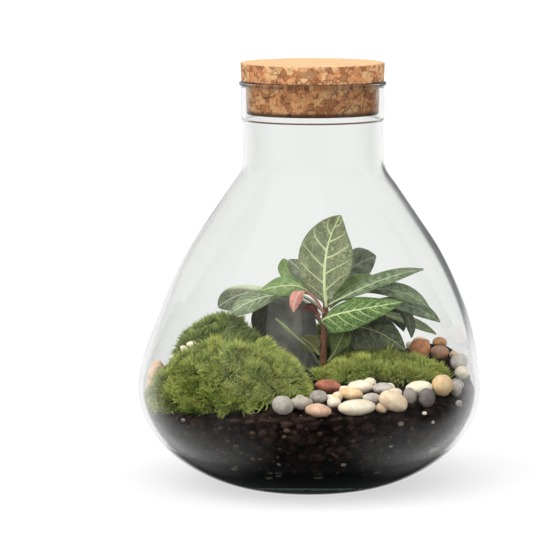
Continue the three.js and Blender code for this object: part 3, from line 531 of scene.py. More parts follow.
def turned(profile, sides, middle):
    """Points and faces of a profile of radius and height, turned about a middle at each height.
    The profile starts and ends on the axis."""
    profile = np.asarray(profile, float)
    turn = np.arange(sides) / sides * 2 * math.pi
    rings = profile[1:-1]
    x = rings[:, None, 0] * np.cos(turn) + middle(rings[:, 1])[:, None]
    y = rings[:, None, 0] * np.sin(turn)
    z = np.broadcast_to(rings[:, None, 1], x.shape)
    body = np.stack([x, y, z], -1).reshape(-1, 3)
    ends = [(float(middle(profile[k, 1])), 0, profile[k, 1]) for k in (0, -1)]
    faces = bands(len(rings) - 1, sides).tolist()
    faces += fan(len(body), 0, sides, reverse=True)
    faces += fan(len(body) + 1, (len(rings) - 1) * sides, sides)
    return np.vstack([body, ends]), faces


class Tree:
    """Adds nodes to a node tree, and links or sets their inputs."""

    def __init__(self, tree):
        self.tree = tree

    def add(self, kind, inputs=None, **settings):
        made = self.tree.nodes.new(kind)
        for key, value in settings.items():
            setattr(made, key, value)
        self.fill(made.inputs, inputs or {})
        return made

    def put(self, socket, value):
        if isinstance(value, bpy.types.NodeSocket):
            self.tree.links.new(value, socket)
        elif isinstance(value, tuple) and len(value) == 3 and socket.type == "RGBA":
            socket.default_value = (*value, 1)
        else:
            socket.default_value = value

    def fill(self, sockets, values):
        for key, value in values.items():
            self.put(sockets[key], value)

    def math(self, operation, a, b=0.0, c=None):
        made = self.add("ShaderNodeMath", {0: a, 1: b}, operation=operation)
        if c is not None:
            self.put(made.inputs[2], c)
        return made.outputs[0]

    def times(self, a, b):
        return self.math("MULTIPLY", a, b)

    def minus(self, a, b):
        return self.math("SUBTRACT", a, b)

    def larger(self, a, b):
        return self.math("MAXIMUM", a, b)

    def fit(self, value, low, high, to_low=0.0, to_high=1.0):
        made = self.add("ShaderNodeMapRange", {
            "Value": value, "From Min": low, "From Max": high, "To Min": to_low, "To Max": to_high,
        }, interpolation_type="SMOOTHSTEP")
        return made.outputs["Result"]

    def blend(self, share, a, b):
        return self.add("ShaderNodeMix", {0: share, 6: a, 7: b}, data_type="RGBA").outputs[2]

    def noise(self, vector, scale, detail=3.0, roughness=0.55, distortion=0.0):
        return self.add("ShaderNodeTexNoise", {
            "Vector": vector, "Scale": scale, "Detail": detail,
            "Roughness": roughness, "Distortion": distortion,
        }).outputs["Fac"]

    def to_edge(self, vector, scale):
        """How far a point lies from the edge of its cell."""
        return self.add("ShaderNodeTexVoronoi", {
            "Vector": vector, "Scale": scale,
        }, feature="DISTANCE_TO_EDGE").outputs["Distance"]

    def bump(self, height, distance, strength):
        return self.add("ShaderNodeBump", {
            "Height": height, "Distance": distance, "Strength": strength,
        }).outputs["Normal"]

    def parts(self, vector):
        return self.add("ShaderNodeSeparateXYZ", {0: vector}).outputs

    def place(self):
        return self.add("ShaderNodeTexCoord").outputs["Object"]

    def value(self, name):
        return self.add("ShaderNodeAttribute", attribute_name=name).outputs["Fac"]

    def uv(self, name):
        return self.add("ShaderNodeUVMap", uv_map=name).outputs[0]


def group_of(name, inputs, outputs):
    """An empty node group with its sockets, and the tree that fills it."""
    group = bpy.data.node_groups.new(name, "ShaderNodeTree")
    for socket, default in inputs:
        made = group.interface.new_socket(socket, in_out="INPUT", socket_type="NodeSocketFloat")
        made.default_value = default
    for socket in outputs:
        group.interface.new_socket(socket, in_out="OUTPUT", socket_type="NodeSocketFloat")
    tree = Tree(group)
    return tree, tree.add("NodeGroupInput").outputs, tree.add("NodeGroupOutput").inputs


def stone_grain_group():
    """Mottling, specks and fine relief of stone. Sizes are patches to the metre."""
    name = "Stone Grain"
    if name in bpy.data.node_groups:
        return bpy.data.node_groups[name]
    sizes = [("Patches", 160.0), ("Specks", 1400.0)]
    tree, given, made = group_of(name, sizes, ["Mottle", "Specks", "Height"])
    place = tree.place()
    mottle = tree.noise(place, given["Patches"], 4.0, 0.6, 0.4)
    fine = tree.noise(place, given["Specks"], 2.0, 0.6)
    tree.fill(made, {
        "Mottle": tree.fit(mottle, 0.38, 0.64),
        "Specks": tree.fit(fine, 0.56, 0.7),
        "Height": tree.math("MULTIPLY_ADD", fine, 0.35, mottle),
    })
    return bpy.data.node_groups[name]


def leaf_veins_group():
    """Midrib, side veins and net of a leaf, from its maps. LeafVeins holds how far along the
    midrib the side vein at a point starts, and the rate across; LeafSize holds millimetres."""
    name = "Leaf Veins"
    if name in bpy.data.node_groups:
        return bpy.data.node_groups[name]
    outputs = ["Midrib", "Side", "Net", "Field", "Half", "Height"]
    tree, given, made = group_of(name, [("Vein Spacing", 9.0), ("Vein Width", 1.0)], outputs)
    spacing, width = given["Vein Spacing"], given["Vein Width"]
    rate = tree.parts(tree.uv("LeafVeins"))
    size = tree.uv("LeafSize")
    across = tree.minus(tree.times(rate[1], 2.0), 1.0)
    side = tree.math("ABSOLUTE", across)
    # Distance from the midrib in millimetres
    from_midrib = tree.math("ABSOLUTE", tree.times(tree.minus(tree.parts(size)[1], 0.5), 100.0))
    taper = tree.larger(tree.minus(1.15, tree.times(rate[0], 1.3)), 0.25)
    half = tree.times(tree.times(width, taper), 0.95)
    midrib = tree.fit(from_midrib, half, tree.times(half, 0.45))
    # Side veins leave the midrib alternately and thin out towards the edge
    stagger = tree.times(tree.math("GREATER_THAN", across, 0.0), VEIN_STAGGER)
    start = tree.math("DIVIDE", tree.times(rate[0], 100.0), spacing)
    nearest = tree.minus(tree.math("FRACT", tree.math("ADD", start, stagger)), 0.5)
    off = tree.times(tree.math("ABSOLUTE", nearest), spacing)
    thin = tree.times(tree.minus(1.0, tree.times(side, 0.72)), width)
    side_vein = tree.fit(off, tree.times(thin, 0.72), tree.times(thin, 0.2))
    side_vein = tree.times(side_vein, tree.fit(side, 1.0, 0.7, 0.15, 1.0))
    # The net between them, and the pale fields along the midrib
    patches = tree.noise(size, 26.0, 3.0, 0.6)
    net = tree.times(tree.fit(tree.to_edge(size, 42.0), 0.09, 0.02), tree.fit(patches, 0.36, 0.6, 0.3, 1.0))
    raised = tree.larger(midrib, tree.times(side_vein, 0.7))
    tree.fill(made, {
        "Midrib": midrib,
        "Side": side_vein,
        "Net": net,
        "Field": tree.times(tree.fit(patches, 0.46, 0.6), tree.fit(side, 0.75, 0.1)),
        "Half": tree.times(tree.fit(across, -0.05, -0.25), tree.fit(rate[0], 0.6, 0.45)),
        "Height": tree.math("MULTIPLY_ADD", net, 0.18, raised),
    })
    return bpy.data.node_groups[name]


def new_material(name):
    """A material with an empty tree and its output, and a Principled shader that feeds it."""
    material = bpy.data.materials.new(name)
    material.use_nodes = True
    material.node_tree.nodes.clear()
    tree = Tree(material.node_tree)
    shader = tree.add("ShaderNodeBsdfPrincipled")
    output = tree.add("ShaderNodeOutputMaterial", {"Surface": shader.outputs[0]})
    return material, tree, shader, output


def glass_material(tint):
    material, tree, shader, output = new_material("Clear Glass")
    up = tree.parts(tree.place())[2]
    # The thick foot is tinted dark teal: partly the thick glass's own tint, partly painted shade where the
    # flask stands
    foot_tint_and_shade = tree.blend(tree.fit(up, 0.04, 0.004), tint, srgb(46, 60, 60))
    # Painted shade: where the wall is seen edge on its colour darkens, and more so on the side away from the
    # key light
    facing = tree.add("ShaderNodeLayerWeight", {"Blend": 0.5}).outputs["Facing"]
    away = tree.fit(tree.parts(tree.place())[0], -0.02, 0.04, 0.2, 1.0)
    rim = tree.times(tree.fit(facing, 0.76, 0.86), away)
    at_belly = tree.times(tree.fit(up, 0.085, 0.12), tree.fit(up, 0.21, 0.175))
    rim = tree.times(rim, at_belly)
    tree.fill(shader.inputs, {
        "Base Color": tree.blend(rim, foot_tint_and_shade, srgb(84, 92, 90)),
        "Roughness": 0.0,
        "IOR": 1.4,
        "Transmission Weight": 1.0,
        "Specular Tint": (0.3, 0.3, 0.3),
    })
    clear = tree.add("ShaderNodeBsdfTransparent", {"Color": (0.96, 0.97, 0.965)})
    path = tree.add("ShaderNodeLightPath")
    both = tree.add("ShaderNodeMixShader", {
        0: path.outputs["Is Shadow Ray"], 1: shader.outputs[0], 2: clear.outputs[0]})
    tree.put(output.inputs["Surface"], both.outputs[0])
    return material


def cork_material(light, warm, dark):
    """Pressed cork granules: cells of differing browns with dark gaps between them."""
    material, tree, shader, _ = new_material("Pressed Cork")
    place = tree.place()
    swirl = tree.noise(place, 260.0, 2.0)
    bent = tree.add("ShaderNodeVectorMath", {0: place}, operation="ADD")
    swirled = tree.add("ShaderNodeCombineXYZ", {0: swirl, 1: swirl, 2: swirl}).outputs[0]
    shift = tree.add("ShaderNodeVectorMath", {0: swirled}, operation="SCALE")
    tree.put(shift.inputs["Scale"], 0.0055)
    tree.put(bent.inputs[1], shift.outputs[0])
    cell = tree.add("ShaderNodeTexVoronoi", {"Vector": bent.outputs[0], "Scale": CORK_CELLS})
    pick = tree.parts(cell.outputs["Color"])
    edge = tree.to_edge(bent.outputs[0], CORK_CELLS)
    up = tree.parts(tree.add("ShaderNodeNewGeometry").outputs["Normal"])[2]
    on_top = tree.fit(up, 0.6, 0.9)
    patches = tree.fit(tree.noise(place, 55.0, 2.0), 0.45, 0.6, 0.0, 0.6)
    blotch = tree.noise(place, 240.0, 5.0, 0.75, 1.0)
    tone = tree.blend(tree.fit(pick[0], 0.2, 0.8), warm, light)
    tone = tree.blend(tree.fit(blotch, 0.5, 0.66, 0.0, 0.6), tone, light)
    tone = tree.blend(tree.fit(blotch, 0.46, 0.32, 0.0, 0.6), tone, warm)
    tone = tree.blend(patches, tone, warm)
    tone = tree.blend(tree.fit(pick[1], 0.55, 0.9, 0.0, 0.65), tone, dark)
    grain = tree.noise(place, 700.0, 4.0, 0.7)
    tone = tree.blend(tree.fit(grain, 0.5, 0.36, 0.0, 0.4), tone, dark)
    gap = tree.fit(edge, 0.16, 0.02)
    gap = tree.times(gap, tree.fit(tree.noise(place, 200.0, 3.0), 0.42, 0.62))
    specks = tree.fit(tree.noise(place, 420.0, 3.0, 0.6), 0.67, 0.74)
    gap = tree.larger(gap, specks)
    rough_side = tree.blend(tree.times(gap, 0.75), tone, srgb(110, 62, 36))
    sanded = tree.blend(0.85, rough_side, srgb(235, 194, 147))
    # Painted shade: the plug's foot is darkened where it sits in shade inside the neck
    plug_foot_shade = tree.fit(tree.parts(place)[2], (CORK_FOOT_Z + 4.5) * MM, (CORK_FOOT_Z + 1.5) * MM, 0.0, 0.88)
    rough_side = tree.blend(plug_foot_shade, rough_side, srgb(44, 26, 21))
    # Painted shade: faces that look down, under the head, take an even, darker brown
    rough_side = tree.blend(tree.fit(up, -0.5, -0.9, 0.0, 0.8), rough_side, srgb(176, 124, 84))
    tree.fill(shader.inputs, {
        "Base Color": tree.blend(on_top, rough_side, sanded),
        "Roughness": 0.85,
    })
    height = tree.minus(tree.times(grain, 0.3), tree.times(gap, 1.0))
    tree.put(shader.inputs["Normal"], tree.bump(height, 0.0006, 0.8))
    return material


def stone_material(name, face, shade, roughness=0.5, patches=160.0):
    material, tree, shader, _ = new_material(name)
    grain = tree.add("ShaderNodeGroup", node_tree=stone_grain_group())
    tree.put(grain.inputs["Patches"], patches)
    tone = tree.blend(grain.outputs["Mottle"], shade, face)
    specks = tree.times(grain.outputs["Specks"], 0.35)
    tone = tree.blend(specks, tone, shaded(shade, 0.35))
    tree.fill(shader.inputs, {
        "Base Color": tone,
        "Roughness": tree.fit(grain.outputs["Mottle"], 0.0, 1.0, roughness - 0.08, roughness + 0.12),
        "Normal": tree.bump(grain.outputs["Height"], 0.0003, 0.5),
    })
    return material


def earth_material(name, dark, mid, light, sparkle=0.0, foot_shade=0.0):
    """Moist soil or wet gravel. Each clod has a shade of its own. The gaps between the clods are
    darkened with painted shade, and so is the soil's foot."""
    material, tree, shader, _ = new_material(name)
    place = tree.place()
    coarse = tree.noise(place, 170.0, 5.0, 0.7)
    broad = tree.noise(place, 26.0, 3.0, 0.6)
    fine = tree.noise(place, 900.0, 4.0, 0.7)
    shade = tree.value("shade")
    pit = tree.value("pit")
    tone = tree.blend(tree.fit(coarse, 0.36, 0.62), dark, mid)
    pale = tree.times(tree.fit(shade, 0.4, 1.0, 0.0, 0.85), tree.fit(broad, 0.38, 0.6, 0.25, 1.0))
    tone = tree.blend(pale, tone, light)
    tone = tree.blend(tree.fit(fine, 0.62, 0.74, 0.0, 0.4), tone, light)
    # Painted shade: the deeper a point lies between the clods, the darker it is
    tone = tree.blend(tree.fit(pit, 0.35, 0.95, 0.0, 0.9), tone, shaded(dark, 0.4))
    # Painted shade: the soil darkens towards its foot, just above the gravel
    if foot_shade:
        foot_shade_mask = tree.fit(tree.parts(place)[2], 0.05, 0.022, 0.0, foot_shade)
        tone = tree.blend(foot_shade_mask, tone, shaded(dark, 0.4))
    tree.fill(shader.inputs, {
        "Base Color": tone,
        "Roughness": tree.fit(coarse, 0.3, 0.7, 0.6 - sparkle, 0.9 - sparkle),
        "Specular IOR Level": 0.02,
    })
    height = tree.math("ADD", tree.times(fine, 0.35), coarse)
    tree.put(shader.inputs["Normal"], tree.bump(height, 0.0016, 0.9))
    return material


def bits_material(name, shades, roughness=0.8):
    """Loose bits, each with a shade of its own from dark to light."""
    material, tree, shader, _ = new_material(name)
    shade = tree.value("shade")
    ramp = tree.add("ShaderNodeValToRGB", {"Fac": shade})
    stops = ramp.color_ramp.elements
    stops[0].color, stops[0].position = (*shades[0][1], 1), shades[0][0]
    stops[1].color, stops[1].position = (*shades[-1][1], 1), shades[-1][0]
    for position, colour in shades[1:-1]:
        stops.new(position).color = (*colour, 1)
    place = tree.place()
    grain = tree.noise(place, 1500.0, 3.0, 0.65)
    tone = tree.blend(tree.fit(grain, 0.6, 0.4, 0.0, 0.5), ramp.outputs[0], (0.0, 0.0, 0.0))
    tree.fill(shader.inputs, {
        "Base Color": tone,
        "Roughness": roughness,
        "Specular IOR Level": 0.05,
        "Normal": tree.bump(grain, 0.0004, 0.7),
    })
    return material


def moss_material(root, mid, tip):
    """Moss strands, dark at the root and bright at the tip: partly the moss's own colour, partly painted
    shade low down and a painted highlight on the tips. The map's first value sets how yellow a strand
    is, and its second how far up the strand a point lies."""
    material, tree, shader, _ = new_material("Moss")
    place = tree.parts(tree.uv("OFBake"))
    low = tree.blend(tree.fit(place[1], 0.05, 0.5), root, mid)
    body = tree.blend(tree.fit(place[1], 0.45, 1.0), low, tip)
    yellow = tree.blend(tree.fit(place[0], 0.45, 1.0, 0.0, 0.75), body, srgb(176, 172, 84))
    green = tree.blend(tree.fit(place[0], 0.5, 0.05, 0.0, 0.55), yellow, srgb(56, 84, 26))
    # Painted shade: the lower part of each strand, and the core, darken further towards the root
    dark = tree.fit(place[1], 0.0, 0.42, 0.1, 1.0)
    tree.fill(shader.inputs, {
        "Base Color": tree.blend(dark, srgb(26, 34, 12), green),
        "Roughness": 0.75,
        "Specular IOR Level": 0.25,
    })
    return material


def leaf_material(look):
    """A leaf with veins. Its two faces share the veins, and the lower one is paler."""
    face, shade, vein, side_strength, net_strength, spacing, width, field_strength = LEAF_LOOKS[look]
    face, shade, vein = srgb(*face), srgb(*shade), srgb(*vein)
    material, tree, shader, _ = new_material(f"Leaf {look.title()}")
    veins = tree.add("ShaderNodeGroup", node_tree=leaf_veins_group())
    tree.put(veins.inputs["Vein Spacing"], spacing)
    tree.put(veins.inputs["Vein Width"], width)
    size = tree.uv("LeafSize")
    mottle = tree.noise(size, 16.0, 4.0, 0.6)
    tone = tree.blend(tree.fit(mottle, 0.35, 0.68), shade, face)
    tone = tree.blend(tree.times(veins.outputs["Field"], field_strength), tone, vein)
    if look == "halved":
        tone = tree.blend(tree.times(veins.outputs["Half"], 0.75), tone, vein)
    tone = tree.blend(tree.times(veins.outputs["Net"], net_strength), tone, vein)
    tone = tree.blend(tree.times(veins.outputs["Side"], side_strength), tone, vein)
    tone = tree.blend(veins.outputs["Midrib"], tone, vein)
    under = tree.value("under")
    pale = tree.blend(0.1, tone, srgb(168, 172, 146))
    tree.fill(shader.inputs, {
        "Base Color": tree.blend(under, tone, pale),
        "Roughness": 0.55,
        "Specular IOR Level": 0.3,
        "Normal": tree.bump(veins.outputs["Height"], 0.0004, 0.6),
    })
    return material


def stem_material(bark, shade):
    """Red-brown bark with fine lengthwise streaks."""
    material, tree, shader, _ = new_material("Stem Bark")
    place = tree.place()
    stretched = tree.add("ShaderNodeMapping", {"Vector": place, "Scale": (1.0, 1.0, 0.2)}).outputs[0]
    streaks = tree.noise(stretched, 900.0, 3.0, 0.6)
    patches = tree.noise(place, 160.0, 3.0)
    tone = tree.blend(tree.fit(streaks, 0.38, 0.64), shade, bark)
    tone = tree.blend(tree.fit(patches, 0.5, 0.7, 0.0, 0.5), tone, srgb(120, 112, 62))
    tree.fill(shader.inputs, {
        "Base Color": tone,
        "Roughness": 0.6,
        "Normal": tree.bump(streaks, 0.0003, 0.7),
    })
    return material


def plain_floor_material(colour):
    """A pale floor with a hardly visible grain."""
    material, tree, shader, _ = new_material("Pale Floor")
    place = tree.place()
    faint = tree.fit(tree.noise(place, 3.0, 2.0), 0.3, 0.7, 0.0, 0.03)
    tree.fill(shader.inputs, {
        "Base Color": tree.blend(faint, colour, (0.6, 0.6, 0.6)),
        "Roughness": 0.9,
        "Specular IOR Level": 0.1,
        "Emission Color": (1.0, 1.0, 1.0),
        "Emission Strength": FLOOR_GLOW,
    })
    return material


def glass_profile():
    """The glass in section: push-up, outer side, collar, rim bead, mouth, inner side. Short steps
    beside an edge keep its shading crisp."""
    bead_r = RIM_BEAD / 2
    bead_middle_r = RIM_R - bead_r
    bead_z = GLASS_HEIGHT - bead_r
    bead = [
        (bead_middle_r + bead_r * math.cos(turn), bead_z + bead_r * math.sin(turn))
        for turn in np.radians(np.linspace(-90, 80, 14))
    ]
    collar = [
        (NECK_R, COLLAR_FOOT_Z - 1.4),
        (NECK_R, COLLAR_FOOT_Z - 1),
        (COLLAR_R, COLLAR_FOOT_Z),
        (COLLAR_R, COLLAR_FOOT_Z + 0.4),
        (COLLAR_R, bead_z - bead_r - 1.4),
        (COLLAR_R, bead_z - bead_r - 1),
    ]
    lip = [
        (LIP_OUTER_R, GLASS_HEIGHT),
        (LIP_INNER_R, GLASS_HEIGHT - LIP_DROP),
        (MOUTH_R, bead_z),
        (MOUTH_R, bead_z - 0.5),
        (MOUTH_R, COLLAR_FOOT_Z),
    ]
    foot = [
        (0, PUSH_UP_HEIGHT),
        (PUSH_UP_R - 0.6, PUSH_UP_HEIGHT),
        (PUSH_UP_R, PUSH_UP_HEIGHT),
        (PUSH_UP_R + PUSH_UP_EDGE, 0),
        (PUSH_UP_R + PUSH_UP_EDGE + 0.6, 0),
        (FOOT_R - 0.6, 0),
    ]
    return foot + outer_side().tolist() + collar + bead + lip + INNER_SIDE[::-1].tolist() + [(0, BOTTOM_WALL)]


def fine_steps(corners, step):
    """The corners of a profile, with points in between a step apart."""
    corners = [np.asarray(corner, float) for corner in corners]
    points = [corners[0]]
    for a, b in zip(corners, corners[1:]):
        count = max(1, round(float(np.linalg.norm(b - a)) / step))
        points.extend(a + (b - a) * k / count for k in range(1, count + 1))
    return points


def cork_shape():
    """The whole stopper: sanded top and foot, and sides with pits between the granules."""
    across = [(r, CORK_FOOT_Z) for r in (0, 10, 20, 30, 40)]
    over = [(r, TOTAL_HEIGHT) for r in (48, 40, 30, 20, 10, 0)]
    sides = fine_steps([
        (CORK_PLUG_FOOT_R - CORK_EDGE, CORK_FOOT_Z),
        (CORK_PLUG_FOOT_R, CORK_FOOT_Z + CORK_EDGE),
        (CORK_PLUG_R, CORK_HEAD_FOOT_Z),
        (CORK_HEAD_FOOT_R, CORK_HEAD_FOOT_Z),
        (CORK_TOP_R, TOTAL_HEIGHT - CORK_EDGE),
        (CORK_TOP_R - CORK_EDGE, TOTAL_HEIGHT),
    ], CORK_STEP)
    profile = across + [tuple(p) for p in sides] + over
    middle_x = float(lean(GLASS_HEIGHT))
    points, faces = turned(profile, CORK_SIDES, lambda z: np.full(np.shape(z), middle_x))
    out = points - (middle_x, 0, 0)
    out[:, 2] = 0
    radius = np.linalg.norm(out, axis=1)
    edge = np.array([noise.voronoi(Vector(p) / CORK_GRANULE, distance_metric="DISTANCE", exponent=2.5)[0][:2]
                     for p in points])
    gap = smooth(1 - (edge[:, 1] - edge[:, 0]) / 0.22)
    patchy = smooth((ripple(points, 9, 5) + 0.5) / 1.1)
    on_side = smooth((radius - CORK_PITS_FROM_R) / 0.8)
    off_step = smooth(np.abs(points[:, 2] - CORK_HEAD_FOOT_Z) / 2.5)
    depth = CORK_PIT * gap * patchy * (on_side * off_step)
    points -= unit(out) * depth[:, None]
    return points, faces


def bumpy_ball(size, seed, detail=2, roughness=0.12):
    """Points and faces of a rounded stone about its middle, as wide, deep and high as size."""
    ball = BALLS[detail]
    points = ball[0] * (1 + roughness * ripple(ball[0], 1.6, seed, 5)[:, None])
    points = np.sign(points) * np.abs(points) ** 0.9
    return points / np.abs(points).max(0) * (np.asarray(size, float) / 2), ball[1]


def ball_mesh(detail):
    """Points and faces of a ball of radius 1."""
    shape = bmesh.new()
    bmesh.ops.create_icosphere(shape, subdivisions=detail, radius=1)
    points = np.array([vert.co for vert in shape.verts])
    faces = np.array([[vert.index for vert in face.verts] for face in shape.faces])
    shape.free()
    return points, faces


BALLS = {detail: ball_mesh(detail) for detail in (1, 2, 3)}


def against_glass(turn):
    """The turn of a stone that lies flat against the glass."""
    return np.array(Matrix.Rotation(turn - math.pi / 2, 3, "Z"))


def random_turn(rng):
    """A random turn about the upright axis, with a slight tilt."""
    return np.array(Matrix.Rotation(rng.uniform(0, 2 * math.pi), 3, "Z")
                    @ Matrix.Rotation(rng.uniform(-0.6, 0.6), 3, "X"))


class Heap:
    """Gathers many small shapes into one, with a shade for each."""

    def __init__(self):
        self.points = []
        self.faces = []
        self.shades = []
        self.count = 0

    def add(self, points, faces, shade):
        self.points.append(points)
        self.faces.append(faces + self.count)
        self.shades.append(np.full(len(points), shade))
        self.count += len(points)

    def piece(self, name, material, slot):
        faces = [face for group in self.faces for face in group.tolist()]
        shades = np.concatenate(self.shades)
        add_piece(name, (np.vstack(self.points), faces), material, values=[("shade", shades)])


def spots_on_disc(rng, count, radius):
    """Random spots over a disc, evenly spread."""
    distance = radius * np.sqrt(rng.uniform(0, 1, count))
    turn = rng.uniform(0, 2 * math.pi, count)
    return np.stack([distance * np.cos(turn), distance * np.sin(turn)], 1)


def gravel_base():
    """The gravel under the soil as one bed with a lumpy top."""
    side_z = np.linspace(BOTTOM_WALL + 0.4, GRAVEL_TOP_Z, 10)
    profile = [(0, side_z[0])]
    profile += [(float(inner_radius(z)) - WALL_GAP, z) for z in side_z]
    profile += [(r, GRAVEL_TOP_Z) for r in np.linspace(float(inner_radius(GRAVEL_TOP_Z)) - 3, 4, 26)]
    profile += [(0, GRAVEL_TOP_Z)]
    points, faces = turned(profile, 160, lean)
    top = smooth((points[:, 2] - GRAVEL_TOP_Z + 1) / 1)
    points[:, 2] += top * 0.9 * ripple(points, 9, 21)
    return points, faces


def gravel_stones(count, seed=11):
    """Drainage stones along the glass, seen through the flask's foot."""
    rng = np.random.default_rng(seed)
    heap = Heap()
    for k in range(count):
        z = rng.uniform(BOTTOM_WALL + 2.5, GRAVEL_TOP_Z + 4)
        size = rng.uniform(3.2, 6.8) * np.array([1, rng.uniform(0.65, 0.95), rng.uniform(0.5, 0.8)])
        points, faces = bumpy_ball(size, seed + k, 1, 0.1)
        points = points @ random_turn(rng).T
        turn = rng.uniform(0, 2 * math.pi)
        radius = float(inner_radius(z)) - np.linalg.norm(points, axis=1).max() - rng.uniform(0.4, 5)
        pale = rng.uniform(0.0, 1.0) > DARK_GRAVEL
        shade = rng.uniform(0.75, 1.0) if pale else rng.uniform(0.0, 0.45)
        heap.add(points + spot_at(radius, turn, z), faces, shade)
    add_at_glass(heap, GLASS_STONES, 900)
    return heap


def add_at_glass(heap, stones, seed):
    """Stones that lie against the glass, each with its compass turn, height, size and shade."""
    for k, (turn, z, size, shade) in enumerate(stones):
        points, faces = bumpy_ball(size, seed + k, 2, 0.1)
        turn = math.radians(turn)
        radius = float(inner_radius(z)) - size[1] / 2 - 0.3
        heap.add(points @ against_glass(turn).T + spot_at(radius, turn, z), faces, shade)


def clods(points):
    """How deep each point lies between the soil's clods, from 0 to 1, and its clod's shade."""
    pits, shades = [], []
    for point in points:
        spot = Vector(point)
        large, places = noise.voronoi(spot / CLOD)
        small = noise.voronoi(spot / CLOD_BIT)[0]
        pits.append(0.65 * large[0] + 0.35 * small[0])
        shades.append(math.sin(places[0].dot(SCRAMBLE_BY)) * SCRAMBLE % 1)
    return smooth((np.array(pits) - 0.2) / 0.55), np.array(shades)


def soil_shape(relief):
    """The soil: sides along the glass and an uneven top, with its pits and shades."""
    turn = np.arange(SOIL_SIDES) / SOIL_SIDES * 2 * math.pi
    across, deep = np.cos(turn), np.sin(turn)
    # Where the soil's top meets the glass, found step by step
    edge_z = np.full(SOIL_SIDES, 70.0)
    for _ in range(12):
        edge_r = inner_radius(edge_z) - WALL_GAP
        edge_z = soil_height(edge_r * across + lean(edge_z), edge_r * deep)
    rings = []
    for rate in np.linspace(0, 1, SOIL_SIDE_ROWS):
        z = SOIL_FOOT_Z + (edge_z - SOIL_FOOT_Z) * rate
        radius = inner_radius(z) - WALL_GAP
        rings.append(np.stack([radius * across + lean(z), radius * deep, z], 1))
    for rate in np.linspace(0.985, 0.012, SOIL_TOP_ROWS):
        x, y = (edge_r * across + lean(edge_z)) * rate, edge_r * deep * rate
        rings.append(np.stack([x, y, soil_height(x, y)], 1))
    side = np.vstack(rings[:SOIL_SIDE_ROWS])
    middle = np.stack([lean(side[:, 2]), np.zeros(len(side)), side[:, 2]], 1)
    inward = unit(middle - side)
    side_pit, side_shade = clods(side)
    side += inward * side_pit[:, None] * relief
    top = np.vstack(rings[SOIL_SIDE_ROWS:])
    top_pit, top_shade = clods(top)
    top[:, 2] += relief * (0.5 - top_pit + 0.4 * ripple(top, 14, 33))
    pit = np.concatenate([side_pit, top_pit, [0, 0]])
    shade = np.concatenate([side_shade, top_shade, [0, 0]])
    points = np.vstack([side, top, [(0, 0, float(soil_height(0, 0)))], [(0, 0, SOIL_FOOT_Z)]])
    peak = len(rings) * SOIL_SIDES
    faces = bands(len(rings) - 1, SOIL_SIDES).tolist()
    faces += fan(peak, peak - SOIL_SIDES, SOIL_SIDES) + fan(peak + 1, 0, SOIL_SIDES, reverse=True)
    return points, faces, pit, shade


def soil_crumbs(count, seed=41):
    """Loose crumbs, bark and white grains on the soil and along the glass."""
    rng = np.random.default_rng(seed)
    heap = Heap()
    for k, (x, y) in enumerate(spots_on_disc(rng, count, 116)):
        ground = float(soil_height(x, y))
        limit = float(inner_radius(ground)) - 3
        if math.hypot(x - float(lean(ground)), y) > limit:
            continue
        size = rng.uniform(1.2, 3.4) * np.array([1, rng.uniform(0.5, 1), rng.uniform(0.35, 0.8)])
        points, faces = bumpy_ball(size, seed + k, 1, 0.16)
        points = points @ random_turn(rng).T + (x, y, ground + 0.2 * size[2])
        white = rng.uniform() > DARK_CRUMBS
        heap.add(points, faces, rng.uniform(0.85, 1.0) if white else rng.uniform(0.0, 0.6))
    for k in range(count):
        turn = rng.uniform(0, 2 * math.pi)
        z = rng.uniform(SOIL_FOOT_Z + 3, 60)
        size = rng.uniform(1.4, 4.6) * np.array([1, rng.uniform(0.3, 0.5), rng.uniform(0.4, 0.9)])
        points, faces = bumpy_ball(size, seed * 2 + k, 1, 0.16)
        radius = float(inner_radius(z)) - WALL_GAP - size[1] * 0.52
        pale = rng.uniform() > DARK_CRUMBS
        shade = rng.uniform(0.7, 0.9) if pale else rng.uniform(0.0, 0.55)
        heap.add(points @ against_glass(turn).T + spot_at(radius, turn, z), faces, shade)
    add_at_glass(heap, GLASS_GRAINS, 700)
    return heap


def between(a, b, low, high, t):
    return ((high - t) * a + (t - low) * b) / (high - low)


def walked(points):
    """How far along a line each of its points lies."""
    return np.concatenate([[0], np.cumsum(np.linalg.norm(np.diff(points, axis=0), axis=1))])


def closed_curve(corners, count):
    """Evenly spaced spots on a smooth closed curve through corners, centripetal Catmull-Rom."""
    corners = np.asarray(corners, float)
    fine = []
    for k in range(len(corners)):
        before, start, end, after = (corners[(k + j) % len(corners)] for j in (-1, 0, 1, 2))
        k0 = 0.0
        k1 = k0 + math.sqrt(float(np.linalg.norm(start - before)))
        k2 = k1 + math.sqrt(float(np.linalg.norm(end - start)))
        k3 = k2 + math.sqrt(float(np.linalg.norm(after - end)))
        for t in np.linspace(k1, k2, 24, endpoint=False):
            first = between(before, start, k0, k1, t)
            second = between(start, end, k1, k2, t)
            third = between(end, after, k2, k3, t)
            left = between(first, second, k0, k2, t)
            right = between(second, third, k1, k3, t)
            fine.append(between(left, right, k1, k2, t))
    fine = np.array(fine + fine[:1])
    along = walked(fine)
    wanted = np.linspace(0, along[-1], count, endpoint=False)
    return np.stack([np.interp(wanted, along, fine[:, axis]) for axis in (0, 1)], 1)


